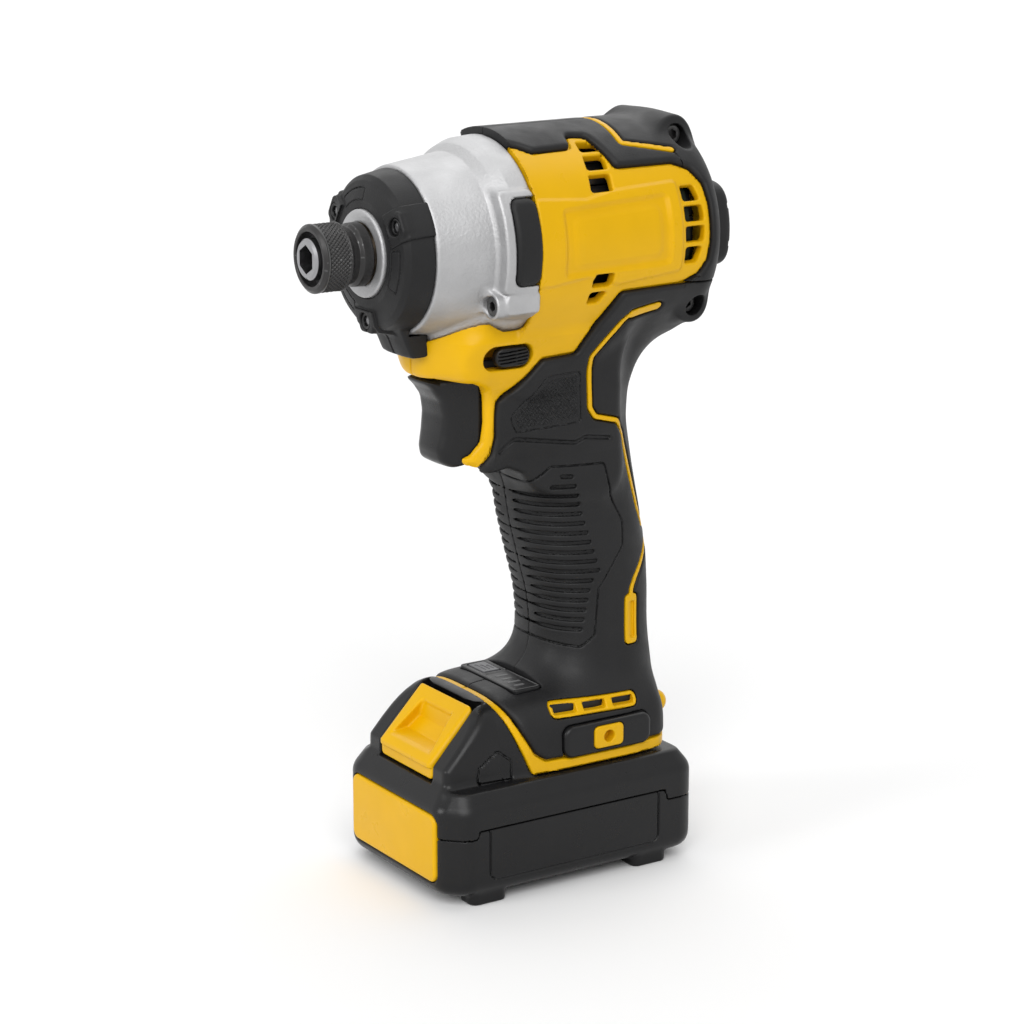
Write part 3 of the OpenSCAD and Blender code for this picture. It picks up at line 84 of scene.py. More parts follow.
# Sizes of the handle, the foot and the battery
GRIP_DROP = 119
GRIP_MID = 80
GRIP_DEPTH = 40
GRIP_HALF = 16.5
FOOT_FRONT = 44.16
FOOT_LEN = 56
FOOT_HALF = 24.5
FOOT_TOP = -GRIP_DROP
FOOT_BOTTOM = -140
COVER_TOP = -140.4
CASE_LOW = -169
REAR_ROUND = 6
WALL = 2.6


# Field tools
def meet(*fields):
    """Intersection with sharp edges."""
    return functools.reduce(np.maximum, fields)


def join(*fields):
    """Union with sharp edges."""
    return functools.reduce(np.minimum, fields)


def smin(a, b, k):
    """Union with a fillet of about k."""
    h = np.maximum(k - abs(a - b), 0) / k
    return np.minimum(a, b) - h * h * k * 0.25


def smax(a, b, k):
    """Intersection with an edge rounded by about k."""
    return -smin(-a, -b, k)


def cut(a, b, k=0.5):
    """a with b taken out, the edge rounded by about k."""
    return smax(a, -b, k)


def box2(u, v, u0, u1, v0, v1, r=0):
    """Rectangle with corners rounded by r."""
    qu = abs(u - (u0 + u1) / 2) - (u1 - u0) / 2 + r
    qv = abs(v - (v0 + v1) / 2) - (v1 - v0) / 2 + r
    return np.hypot(np.maximum(qu, 0), np.maximum(qv, 0)) + np.minimum(np.maximum(qu, qv), 0) - r


def slab(u, u0, u1):
    return abs(u - (u0 + u1) / 2) - (u1 - u0) / 2


def line(u, v, pts):
    """Distance to an open line through pts."""
    d = np.full(u.shape, FAR, u.dtype)
    for (x0, y0), (x1, y1) in zip(pts, pts[1:]):
        ex, ey = x1 - x0, y1 - y0
        wu, wv = u - x0, v - y0
        t = np.clip((wu * ex + wv * ey) / (ex * ex + ey * ey), 0, 1)
        d = np.minimum(d, (wu - ex * t) ** 2 + (wv - ey * t) ** 2)
    return np.sqrt(d)


def poly(u, v, pts):
    """Distance to a closed outline, negative inside."""
    ring = pts + pts[:1]
    inside = np.zeros(u.shape, bool)
    for (x0, y0), (x1, y1) in zip(ring, ring[1:]):
        if y0 != y1:
            hit = ((y0 <= v) & (v < y1)) | ((y1 <= v) & (v < y0))
            inside ^= hit & (u < x0 + (v - y0) * ((x1 - x0) / (y1 - y0)))
    d = line(u, v, ring)
    return np.where(inside, -d, d)


def fillet(pts, r, n=4, closed=True):
    """pts with every corner turned into a curve of about radius r."""
    out = []
    count = len(pts)
    for i, p in enumerate(pts):
        if not closed and i in (0, count - 1):
            out.append(p)
            continue
        p = np.array(p, float)
        a, b = np.array(pts[i - 1], float) - p, np.array(pts[(i + 1) % count], float) - p
        la, lb = np.hypot(*a), np.hypot(*b)
        a, b = a / la, b / lb
        half = math.acos(max(-1, min(1, float(a @ b)))) / 2
        reach = min(r / max(math.tan(half), 1e-3), la * 0.45, lb * 0.45)
        for k in range(n + 1):
            t = k / n
            q = p + a * reach * (1 - t) ** 2 + b * reach * t ** 2
            out.append((float(q[0]), float(q[1])))
    return out


def chart(flat_field, us, vs, cell=0.25):
    """A flat field read from a fine grid of its values, which is much quicker than many edges."""
    grid_u, grid_v = np.arange(us[0], us[1] + cell, cell), np.arange(vs[0], vs[1] + cell, cell)
    rows, row = len(grid_u), len(grid_v)
    table = flat_field(*np.meshgrid(grid_u, grid_v, indexing="ij")).astype(np.float32).ravel()

    def look(u, v):
        a, b = np.clip((u - us[0]) / cell, 0, rows - 1.01), np.clip((v - vs[0]) / cell, 0, row - 1.01)
        i, j = a.astype(np.int32), b.astype(np.int32)
        a, b, k = a - i, b - j, i * row + j
        near = table[k] * (1 - a) + table[k + row] * a
        return near * (1 - b) + (table[k + 1] * (1 - a) + table[k + row + 1] * a) * b

    return look


def outline(pts, view):
    """Chart of a closed outline."""
    return chart(lambda u, v: poly(u, v, pts), *view)


def stroke(pts, view):
    """Chart of an open line."""
    return chart(lambda u, v: line(u, v, pts), *view)


def smoothed(levels, values, width, step=0.25):
    """A table through (levels, values) whose bends are eased over width."""
    xs = np.arange(min(levels), max(levels) + step, step)
    order = np.argsort(levels)
    v = np.interp(xs, np.array(levels)[order], np.array(values)[order])
    n = max(int(width / step), 1)
    ker = np.hanning(2 * n + 3)[1:-1]
    pad = np.concatenate([np.full(n, v[0]), v, np.full(n, v[-1])])
    return xs, np.convolve(pad, ker / ker.sum(), "valid")


# Meshes from fields
def net(field, lo, hi, step):
    """Points and quads of the surface where field is 0, for a field of (s, y, h)."""
    lo = np.array(lo, float)
    blocks = np.ceil((np.array(hi) - lo) / step / BLOCK).astype(int)
    cells = blocks * BLOCK
    grid = np.stack(np.meshgrid(*[np.arange(n) for n in blocks], indexing="ij"), -1).reshape(-1, 3)
    mid = lo + (grid + 0.5) * BLOCK * step
    # Half a block's diagonal, with room for fields that don't rise evenly
    reach = BLOCK * step * 0.5 * math.sqrt(3) * 1.35 + step
    batches = np.array_split(mid, len(mid) // PLACES + 1)
    near = np.concatenate([abs(field(*m.T)) < reach for m in batches])
    grid = grid[near]
    corner = np.stack(np.meshgrid(*[np.arange(BLOCK + 1)] * 3, indexing="ij"), -1).reshape(-1, 3)
    steps = np.array([[0, 0, 0], [1, 0, 0], [0, 1, 0], [0, 0, 1], [1, 1, 0], [1, 0, 1], [0, 1, 1],
                      [1, 1, 1]])
    edges = [(0, 1), (0, 2), (0, 3), (1, 4), (1, 5), (2, 4), (2, 6), (3, 5), (3, 6), (4, 7), (5, 7), (6, 7)]
    stride = np.array([cells[1] * cells[2], cells[2], 1])
    places, ids, signs = [], [], []
    for part in np.array_split(grid, len(grid) // CHUNK + 1):
        pts = (part[:, None, :] * BLOCK + corner).reshape(-1, 3)
        val = field(*(lo + pts * step).astype(np.float32).T).reshape(-1, BLOCK + 1, BLOCK + 1, BLOCK + 1)
        eight = [val[:, a:BLOCK + a, b:BLOCK + b, c:BLOCK + c] for a, b, c in steps]
        eight = np.stack(eight, -1).reshape(-1, 8)
        inside = (eight < 0).sum(1)
        live = np.nonzero((inside > 0) & (inside < 8))[0]
        if not len(live):
            continue
        eight = eight[live]
        local = np.stack(np.unravel_index(live, (len(part), BLOCK, BLOCK, BLOCK)), -1)
        cell = part[local[:, 0]] * BLOCK + local[:, 1:]
        total, count = np.zeros((len(live), 3)), np.zeros(len(live))
        for a, b in edges:
            va, vb = eight[:, a], eight[:, b]
            hit = (va < 0) != (vb < 0)
            t = np.where(hit, va / np.where(hit, va - vb, 1), 0)
            total += hit[:, None] * (steps[a] + t[:, None] * (steps[b] - steps[a]))
            count += hit
        places.append(lo + (cell + total / count[:, None]) * step)
        ids.append(cell @ stride)
        signs.append(eight[:, :4] < 0)
    places, ids, signs = np.concatenate(places), np.concatenate(ids), np.concatenate(signs)
    order = np.argsort(ids)
    places, ids, signs = places[order], ids[order], signs[order]
    quads = []
    for axis, (a, b) in enumerate(((1, 2), (2, 0), (0, 1))):
        hit = np.nonzero(signs[:, 0] != signs[:, axis + 1])[0]
        base = ids[hit]
        ring = np.stack([base - stride[a] - stride[b], base - stride[b], base, base - stride[a]], 1)
        found = np.searchsorted(ids, ring)
        found = np.minimum(found, len(ids) - 1)
        whole = (ids[found] == ring).all(1)
        found, out = found[whole], signs[hit][whole, 0]
        quads.append(np.where(out[:, None], found[:, ::-1], found))
    return places, np.concatenate(quads)


def slope(field, p, e=0.06):
    """Gradient of the field at points p."""
    g = np.empty_like(p)
    for k in range(3):
        d = np.zeros(3)
        d[k] = e
        g[:, k] = (field(*(p + d).T) - field(*(p - d).T)) / (2 * e)
    return g


def settle(field, p, step, turns=2, least=0.05, stride=0.6):
    """Moves points onto the surface where field is 0."""
    for _ in range(turns):
        g = slope(field, p)
        size = np.maximum((g * g).sum(1), least)
        move = (field(*p.T) / size)[:, None] * g
        far = np.linalg.norm(move, axis=1, keepdims=True)
        p = p - move * np.minimum(1, stride * step / np.maximum(far, 1e-9))
    return p


def to_frame(p):
    """(s, y, h) in millimetres to the row frame in metres."""
    return np.stack([NOSE_X - p[:, 0], p[:, 1], p[:, 2] + AXIS_Z], 1) * MM


def add_piece(name, co, faces, normals, body, node, slot=None, material=None):
    """A mesh object that rides a body and stands for a CAD node, whose slot it has unless it is given one."""
    slot = slot or SLOTS[node]
    mesh = bpy.data.meshes.new(name)
    mesh.vertices.add(len(co))
    mesh.vertices.foreach_set("co", co.astype(np.float32).ravel())
    size = faces.shape[1]
    mesh.loops.add(faces.size)
    mesh.loops.foreach_set("vertex_index", faces.astype(np.int32).ravel())
    mesh.polygons.add(len(faces))
    mesh.polygons.foreach_set("loop_start", np.arange(0, faces.size, size, dtype=np.int32))
    mesh.update(calc_edges=True)
    mesh.polygons.foreach_set("use_smooth", np.ones(len(faces), bool))
    if normals is not None:
        mesh.normals_split_custom_set_from_vertices(normals.astype(np.float32))
    mesh.materials.append(material or BY_SLOT[slot])
    obj = bpy.data.objects.new(name, mesh)
    bpy.context.scene.collection.objects.link(obj)
    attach(obj, body)
    if node:
        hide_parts(node)


def build(name, field, lo, hi, step, body, node, slot=None, hidden=None, material=None):
    """A piece from a field; hidden is a field that is negative where faces can't be seen."""
    p, quads = net(field, lo, hi, step)
    p = settle(field, p, step)
    if hidden is not None:
        unseen = hidden(*p.T) < 0
        quads = quads[~unseen[quads].all(1)]
        used = np.unique(quads)
        back = np.zeros(len(p), int)
        back[used] = np.arange(len(used))
        p, quads = p[used], back[quads]
    g = slope(field, p)
    g /= np.maximum(np.linalg.norm(g, axis=1, keepdims=True), 1e-9)
    g[:, 0] *= -1
    add_piece(name, to_frame(p), quads, g, body, node, slot, material)


# Finishes
TINT_SCALE, SHEEN_SCALE, SHEEN_SPREAD, GRAIN_DEPTH = 90, 160, 0.07, 0.00012
MOTTLE, WORN = (0.3, 0.7), (0.52, 0.6)


def finish(name, colour, rough, metal=0, grain=None, bump=0, vary=0.06, wear=None, spec=0.5):
    """A node material: mottled colour, uneven roughness, fine relief and worn edges."""
    mat = bpy.data.materials.new(name)
    mat.use_nodes = True
    nodes, links = mat.node_tree.nodes, mat.node_tree.links
    bsdf = nodes["Principled BSDF"]
    bsdf.inputs["Metallic"].default_value = metal
    bsdf.inputs["Specular IOR Level"].default_value = spec
    where = nodes.new("ShaderNodeTexCoord")

    def noise(scale, detail):
        n = nodes.new("ShaderNodeTexNoise")
        n.inputs["Scale"].default_value = scale
        n.inputs["Detail"].default_value = detail
        links.new(where.outputs["Object"], n.inputs["Vector"])
        return n

    def ramp(source, places, shades):
        r = nodes.new("ShaderNodeValToRGB")
        for stop, place, shade in zip(r.color_ramp.elements, places, shades):
            stop.position, stop.color = place, shade
        links.new(source, r.inputs["Fac"])
        return r.outputs["Color"]

    dark = tuple(c * (1 - vary) for c in colour) + (1,)
    light = tuple(min(c * (1 + vary), 1) for c in colour) + (1,)
    tint = ramp(noise(TINT_SCALE, 4).outputs["Fac"], MOTTLE, (dark, light))
    if wear:
        geo = nodes.new("ShaderNodeNewGeometry")
        edge = ramp(geo.outputs["Pointiness"], WORN, ((0, 0, 0, 1), (1, 1, 1, 1)))
        mix = nodes.new("ShaderNodeMix")
        mix.data_type = "RGBA"
        links.new(edge, mix.inputs["Factor"])
        links.new(tint, mix.inputs["A"])
        mix.inputs["B"].default_value = tuple(wear) + (1,)
        tint = mix.outputs["Result"]
    links.new(tint, bsdf.inputs["Base Color"])
    low, high = max(rough - SHEEN_SPREAD, 0.02), min(rough + SHEEN_SPREAD, 1)
    even = ramp(noise(SHEEN_SCALE, 3).outputs["Fac"], MOTTLE, ((low, low, low, 1), (high, high, high, 1)))
    links.new(even, bsdf.inputs["Roughness"])
    if grain:
        relief = nodes.new("ShaderNodeBump")
        relief.inputs["Strength"].default_value = bump
        relief.inputs["Distance"].default_value = GRAIN_DEPTH
        links.new(noise(grain, 2).outputs["Fac"], relief.inputs["Height"])
        links.new(relief.outputs["Normal"], bsdf.inputs["Normal"])
    return mat


LOOKS = {
    "yellow_plastic": dict(colour=(0.73, 0.407, 0.001), rough=0.34, grain=2600, bump=0.10, vary=0.03,
                           spec=0.2),
    "black_rubber": dict(colour=(0.009, 0.009, 0.0095), rough=0.5, grain=2400, bump=0.45, vary=0.12,
                         spec=0.25),
    "black_plastic": dict(colour=(0.008, 0.008, 0.0085), rough=0.32, grain=2200, bump=0.2, vary=0.1,
                          spec=0.26),
    "cast_aluminium": dict(colour=(0.43, 0.43, 0.435), rough=0.55, metal=0.85, grain=1300, bump=1),
    "black_steel": dict(colour=(0.035, 0.034, 0.034), rough=0.38, metal=0.6, grain=3000, bump=0.15,
                        vary=0.1, wear=(0.1, 0.1, 0.1)),
    "steel": dict(colour=(0.32, 0.32, 0.33), rough=0.3, metal=1, grain=2500, bump=0.12),
    "dark_steel": dict(colour=(0.11, 0.11, 0.115), rough=0.36, metal=0.9, grain=2500, bump=0.12, vary=0.08),
    "bronze": dict(colour=(0.13, 0.095, 0.055), rough=0.4, metal=1, grain=2000, bump=0.12),
    "copper": dict(colour=(0.62, 0.27, 0.13), rough=0.3, metal=1, grain=1800, bump=0.2),
    "circuit_board": dict(colour=(0.004, 0.010, 0.007), rough=0.5, grain=1500, bump=0.1, spec=0.2),
    "grey_plastic": dict(colour=(0.07, 0.07, 0.075), rough=0.45, grain=2200, bump=0.2),
    "clear_lens": dict(colour=(0.16, 0.16, 0.165), rough=0.16, metal=0.5, grain=1200, bump=0.05, vary=0.03,
                       spec=0.7),
    "cell_steel": dict(colour=(0.25, 0.35, 0.5), rough=0.35, grain=900, bump=0.05),
}
BY_SLOT = {slot: finish(slot, **look) for slot, look in LOOKS.items()}
MARK = finish("panel_mark", (0.10, 0.10, 0.10), 0.5, grain=2200, bump=0.1)


# Outer forms of the tool
GRIP_SHARES = [
    (0.17, 0.575, 0.56, 0.8), (0.24, 0.58, 0.53, 0.86), (0.29, 0.59, 0.44, 0.92),
    (0.345, 0.6, 0.355, 0.95), (0.42, 0.6, 0.335, 0.97), (0.53, 0.545, 0.385, 1),
    (0.64, 0.49, 0.45, 1.02), (0.73, 0.42, 0.5, 1.02), (0.815, 0.35, 0.515, 1), (0.9, 0.325, 0.515, 1),
    (0.945, 0.34, 0.525, 1.03), (0.98, 0.41, 0.535, 1.1), (1.02, 0.5, 0.54, 1.2),
]
GRIP_LEVELS = [-r[0] * GRIP_DROP for r in GRIP_SHARES]
GRIP_FRONTS = smoothed(GRIP_LEVELS, [GRIP_MID - r[1] * GRIP_DEPTH for r in GRIP_SHARES], 5)
GRIP_BACKS = smoothed(GRIP_LEVELS, [GRIP_MID + r[2] * GRIP_DEPTH for r in GRIP_SHARES], 5)
GRIP_HALVES = smoothed(GRIP_LEVELS, [r[3] * GRIP_HALF for r in GRIP_SHARES], 5)
FOOT_SHARES = [
    (0, 0.86, 0.06), (0.12, 0.96, 0.02), (0.35, 1, 0), (0.7, 1, 0), (0.9, 0.95, 0.08),
    (0.97, 0.84, 0.18), (1, 0.7, 0.3),
]
FOOT_STATIONS = [FOOT_FRONT + r[0] * FOOT_LEN for r in FOOT_SHARES]
FOOT_HALVES = smoothed(FOOT_STATIONS, [r[1] * FOOT_HALF for r in FOOT_SHARES], 3)
FOOT_TOPS = smoothed(FOOT_STATIONS, [FOOT_TOP - r[2] * (FOOT_TOP - FOOT_BOTTOM) for r in FOOT_SHARES], 3)


def bowed(u, v, a, b, power):
    """Distance to a superellipse with half axes a and b, to first order."""
    u, v = abs(u) / a, abs(v) / b
    g = np.maximum((u ** power + v ** power) ** (1 / power), 1e-3)
    gu, gv = (u / g) ** (power - 1) / a, (v / g) ** (power - 1) / b
    return (g - 1) / np.maximum(np.hypot(gu, gv), 1e-3)


def barrel(s, y, h, grow):
    """Motor barrel with a round rear edge."""
    rho = np.hypot(y, h)
    qs, qr = s - (BODY_BACK - REAR_ROUND), rho - (BODY_R - REAR_ROUND)
    out = np.hypot(np.maximum(qs, 0), np.maximum(qr, 0)) + np.minimum(np.maximum(qs, qr), 0)
    return meet(out - REAR_ROUND - grow, CASE_BACK + 0.05 - s)


GRIP_END, GRIP_START, GRIP_POWER, FOOT_POWER = -122, -22, 2.6, 4


def handle(s, y, h, inset):
    front = np.interp(h, *GRIP_FRONTS) + inset
    back = np.interp(h, *GRIP_BACKS) - inset
    half = np.interp(h, *GRIP_HALVES) - inset
    ring = bowed(s - (front + back) / 2, y, (back - front) / 2, half, GRIP_POWER)
    return meet(ring, h - GRIP_START, GRIP_END - h)


def foot(s, y, h, inset):
    half = np.interp(s, *FOOT_HALVES) - inset
    rise = np.interp(s, *FOOT_TOPS) - inset - FOOT_BOTTOM
    ring = bowed(y, np.maximum(h - FOOT_BOTTOM, 0), half, rise, FOOT_POWER)
    back = s - (FOOT_FRONT + FOOT_LEN - inset)
    return meet(smax(meet(ring, FOOT_BOTTOM - h), back, 6), FOOT_FRONT - 4 - s)


SIDE = ((20, 122), (-145, 40))
ROUND = ((48, 122), (-48, 60))
CHIN_TIP, CHIN_ROUND, CHIN_HALF, CHIN_LOW_HALF = 30.2, 14, 18.6, 14.4
CHIN_TOP, CHIN_LOW = -22.8, -34.6
chin_side = outline([(10, 0), (10, -36.4), (30, -34.2), (44, -31.2), (60.2, CHIN_LOW), (80, CHIN_TOP),
                     (80, 0)], SIDE)
LIP = ((26, 42.4, 46.4), (23.3, 25.5, 27.6))
FRAME_HALF = 14.4
# The frame narrows below a level, ahead of and behind a station: by how much, over what length
TAPER_LEVEL, TAPER_DROP, TAPER_STATION = -49, 7, 46
TAPER_AHEAD, TAPER_BEHIND = (4.6, 8), (2, 6)
frame_side = outline(fillet([
    (37.8, -27), (38, -30.4), (41.6, -30.9), (44.4, -34.7), (44.6, -45), (43.8, -50.2), (41.4, -53.6),
    (39.3, -54.7), (39.8, -56.4), (43.5, -57.4), (52, -57.2), (57, -58.6), (60, -62), (80, -62),
    (80, -27)], 2.2), SIDE)


def bow(s, y, half):
    """Plan of the chin: a round front that runs into straight sides."""
    ahead, aside = np.maximum(CHIN_TIP + CHIN_ROUND - s, 0), np.maximum(abs(y) - half + CHIN_ROUND, 0)
    return np.hypot(ahead, aside) - CHIN_ROUND


def lip(s):
    """Radius of the gear case's lower ledge."""
    return np.interp(s, *LIP)


def chin(s, y, h, grow):
    half = CHIN_HALF - np.clip((CHIN_TOP - h) / (CHIN_TOP - CHIN_LOW), 0, 1) * (CHIN_HALF - CHIN_LOW_HALF)
    return smax(chin_side(s, h) - grow, bow(s, y, half) - grow, 3.2)


def trigger_frame(s, y, h, grow):
    low = np.clip((TAPER_LEVEL - h) / TAPER_DROP, 0, 1)
    ahead = TAPER_AHEAD[0] * np.clip((TAPER_STATION - s) / TAPER_AHEAD[1], 0, 1)
    behind = TAPER_BEHIND[0] * np.clip((s - TAPER_STATION) / TAPER_BEHIND[1], 0, 1)
    half = FRAME_HALF - low * (ahead + behind)
    return smax(frame_side(s, h) - grow, (abs(y) - half) * 0.9 - grow, 2.2)


def form(s, y, h, grow):
    """Outside of the tool's body: the hard shell at grow 0, the soft overmould at grow SKIN."""
    inset = SKIN - grow
    f = smin(barrel(s, y, h, grow), handle(s, y, h, inset), 9)
    f = smin(f, chin(s, y, h, grow), 2.5)
    f = smin(f, trigger_frame(s, y, h, grow), 3.5 + 0.45 * abs(y))
    return smin(f, foot(s, y, h, inset), 5)


def hard(s, y, h):
    return form(s, y, h, 0)


def soft(s, y, h):
    return form(s, y, h, SKIN)


def turn(y, h):
    """Arc length round the barrel from the horizontal, the same on both sides."""
    return np.arctan2(h, abs(y)) * BODY_R


def arcs(pts):
    """(station, degrees) as (station, arc length)."""
    return [(s, math.radians(a) * BODY_R) for s, a in pts]


# Outlines of the soft areas: on the side view for the grip, round the barrel for the top and the rear
grip_edge = outline(fillet([
    (140, -13), (100.3, -11.6), (78.4, -12), (74.4, -19), (68.7, -28.3), (58.6, -28.8), (54.6, -33),
    (49.4, -37.1), (47.3, -39.4), (46.9, -43), (46.8, -49), (45.8, -53), (44, -55.9), (43.2, -58.6),
    (43.2, -68), (30, -72), (30, -112), (47.2, -116), (47.2, -121), (50.2, -127.9), (53.8, -134.2),
    (56.9, -136.4), (97.6, -136.4), (98.8, -127.5), (140, -127.5)], 2), SIDE)
top_edge = outline(fillet(arcs([
    (51, 130), (51, 68), (54.6, 63), (57.6, 57.6), (69.6, 58.6), (71, 69.5), (76.6, 67), (79.4, 42.5),
    (97, 42.5), (101.5, 38), (104.2, 29), (104.9, 18), (104.9, -2), (104.2, -12), (102, -19.5),
    (98, -23.4), (94, -25.4), (92, -60), (140, -80), (140, 130)]), 1.8), ROUND)
zigzag_line = stroke(fillet(arcs([(86.2, 130), (86, 88), (85, 58), (98.7, 50)]), 0.8, closed=False), ROUND)
ZIGZAG_HALF = 0.8
zigzag_cut = outline(arcs([(140, 130), (86.2, 130), (86, 88), (85, 58), (98.7, 50), (100.2, 40),
                           (92, -30), (90, -80), (140, -80)]), ROUND)
STRIPE = fillet([
    (92, -17.3), (83.2, -18.9), (81.4, -20.4), (73.7, -29.8), (73.8, -43.6), (75.4, -46.1), (82.6, -48),
    (86.4, -52.4), (93.2, -74), (96, -80)], 1.5, closed=False)
STRIPE_TOP = [(83.8, -18.9), (91.4, -17.5)]
STRIPE_LOW = fillet([(98, -83), (95.8, -86.4), (91, -93), (89.6, -95.8), (89.4, -98)], 1.5, closed=False)
STRIPE_HALF, STRIPE_TOP_HALF, STRIPE_END = 0.65, 1.15, -16
STRIPE_TAB = (87.3, 91.6, -111.2, -97.4)
TAB_POCKET = (88.9, 90.6, -109.6, -99.4)
stripe_lines = chart(lambda u, v: np.min([
    line(u, v, STRIPE) - STRIPE_HALF, line(u, v, STRIPE_LOW) - STRIPE_HALF,
    line(u, v, STRIPE_TOP) - STRIPE_TOP_HALF, box2(u, v, *STRIPE_TAB, 1.2)], 0), *SIDE)
tab_pocket = chart(lambda u, v: box2(u, v, *TAB_POCKET, 0.6), *SIDE)


def top_area(s, y, h):
    return meet(top_edge(s, turn(y, h)), -grip_edge(s, h) + 0.1)


def stripes(s, h):
    """Yellow lines that show between the soft areas."""
    return meet(stripe_lines(s, h), h - STRIPE_END)


def zigzag(s, y, h):
    return meet(zigzag_line(s, turn(y, h)) - ZIGZAG_HALF, -h)


# Openings
def carve(f, at, *rooms):
    """f with rooms taken out, each given with the rounding of its edge."""
    for room, k in rooms:
        f = cut(f, room(*at), k)
    return f


dome_edge = outline([(0, -98), (44.56, -98), (44.56, -120.3), (53.4, -140.5), (53.4, -160), (0, -160)],
                    SIDE)
CHANNEL_BACK = 92.3
TOWER_HALF, TOWER_LEVELS = 19.5, (-135.4, -125.7)
RAIL_HALF, RAIL_LEVELS = 16.9, (-150, -135)


def battery_channel(s, y, h):
    ay = abs(y)
    tower = meet(ay - TOWER_HALF, slab(h, *TOWER_LEVELS), s - CHANNEL_BACK)
    rail = meet(ay - RAIL_HALF, slab(h, *RAIL_LEVELS), s - CHANNEL_BACK)
    return join(tower, rail, dome_edge(s, h))


TRIGGER_HALF, TRIGGER_FRONT_HALF, TRIGGER_FLARE, TRIGGER_FLARE_LEN = 10.8, 6.4, 35.4, 8.6
TRIGGER_GAP = 0.5
LEVER_ROOM, LEVER_DEPTH = (40.8, 55.6, -30.4, -23.9, 3.2), 11
PANEL_FRONT, PANEL_END, PANEL_HALF, PANEL_LEVELS, PANEL_ROUND = 53, 62.2, 14.1, (-121.45, -108), 1.4
VENT_STRIP, VENT_GROUND, VENT_LEAN, VENT_MID = (59.6, 87, -126.1, -122.2, 1.6), 15, 0.03, 72
SLOT_SPAN, SLOT_PITCH, SLOT_MID, SLOT_HALF = (60, 86.6), 9.2, 73.3, 3.5
# The last pair gives the levels of the dark sheet of painted shade behind the foot's slots
SLOT_LEVELS, SLOT_GROUND, SHADE_GROUND_LEVELS = (-125.2, -123.1), 20.6, (-125.6, -122.7)
HOOK_ROOM, HOOK_GROUND = (61.8, 90.2, -137, -127.9, 2.9), 22.7
room_side = outline([(20, -70), (20, -35.8), (30.5, -34), (45, -31), (72, -31), (72, -56.2),
                     (49.2, -56.2), (49.2, -70)], SIDE)


def trigger_half(s):
    flare = np.clip((s - TRIGGER_FLARE) / TRIGGER_FLARE_LEN, 0, 1)
    return TRIGGER_FRONT_HALF + flare * (TRIGGER_HALF - TRIGGER_FRONT_HALF)


def trigger_room(s, y, h):
    return meet(room_side(s, h), (abs(y) - trigger_half(s) - TRIGGER_GAP) * 0.9)


def lever_room(s, y, h):
    return meet(box2(s, h, *LEVER_ROOM), LEVER_DEPTH - abs(y))


def panel_room(s, y, h, grow=0):
    half = PANEL_HALF + grow
    plan = box2(s, y, PANEL_FRONT - grow, PANEL_END + grow, -half, half, PANEL_ROUND)
    return meet(plan, slab(h, *PANEL_LEVELS))


def leaned(s, h):
    """Level along the foot's vents, which rise to the rear."""
    return h + VENT_LEAN * (s - VENT_MID)


def foot_vents(s, y, h):
    """Strip low on the foot's side that holds three slots."""
    return meet(box2(s, leaned(s, h), *VENT_STRIP), VENT_GROUND - abs(y))


def foot_slots(s, y, h):
    near = abs((s - SLOT_MID + SLOT_PITCH / 2) % SLOT_PITCH - SLOT_PITCH / 2)
    slots = box2(near, leaned(s, h), -9, SLOT_HALF, *SLOT_LEVELS, 0.4)
    return meet(slots, slab(s, *SLOT_SPAN), SLOT_GROUND - abs(y))


def slot_shade_ground(s, y, h):
    """Dark ground of the foot's slots: painted shade that stands for the shadowed inside of the foot."""
    f = box2(s, leaned(s, h), *SLOT_SPAN, *SHADE_GROUND_LEVELS, 0.5)
    return smax(f, slab(abs(y), 19.6, FOOT_HALF - 3.7), 0.3)


def hook_room(s, y, h):
    return meet(box2(s, h, *HOOK_ROOM), HOOK_GROUND - abs(y))


def inside(s, y, h):
    """Hollow of the barrel."""
    return meet(barrel(s, y, h, -WALL), CASE_BACK - 4 - s)


# Station, level, radius and half length of each boss; station, level and seat of each right-hand screw
REAR_BOSSES = ((103.94, 25, 5.4, 12.5), (104.38, -18.74, 4.9, 21.4))
REAR_SCREW_SEATS = (9.4, 16.4)
SHELL_SCREWS = ((75.2, -29.75, 12.4), (89, -75, 11.3), (88, -102.34, 12.4))
PIT_R = 2.95


def screw_pits(s, y, h):
    """Pits over the screw heads: two at the left rear, three on the right."""
    rear = [meet(np.hypot(s - st, h - lv) - PIT_R, seat - y)
            for (st, lv, *_), seat in zip(REAR_BOSSES, REAR_SCREW_SEATS)]
    right = [meet(np.hypot(s - st, h - lv) - PIT_R, y + seat) for st, lv, seat in SHELL_SCREWS]
    return join(*rear, *right)


def boss(s, y, h, k):
    st, lv, r, half = REAR_BOSSES[k]
    return smax(np.hypot(s - st, h - lv) - r, abs(y) - half, 1.2)


# Corners as stations and degrees round the barrel
VENTS = [
    [(72.7, 64), (79, 63), (78.4, 55.5), (72, 55.5)],
    [(71.8, 52.5), (78.1, 52.5), (77.3, 43), (70.9, 43)],
    [(70.6, 40), (77.1, 40), (76.4, 30), (69.7, 30)],
    [(68.8, -13), (74.8, -13), (74.5, -21), (68.7, -21)],
    [(68.6, -24), (74, -24), (72, -31), (68.4, -31)],
    [(97, 29), (101.2, 29), (102.4, 20.5), (97, 20.5)],
    [(97, 18), (102.7, 18), (103, 9.5), (97, 9.5)],
    [(97, 7), (103, 7), (102.6, -1.5), (97, -1.5)],
    [(97, -4), (102.3, -4), (100.8, -13), (97, -13)],
]
VENT_DEPTH_R = 20
PLATEAU_RISE, WINDOW_DROP, WINDOW_INNER_RISE = 0.6, 0.85, 0.4
FOOT_BUMP, FOOT_BUMP_R = (99.6, 13, -130.2), 3.2
TAIL_VOID = (107, -23.5, -14.5, 15)
BAND_TOP = -116
VENT_OUTLINES = [fillet(arcs(v), 0.8) for v in VENTS]
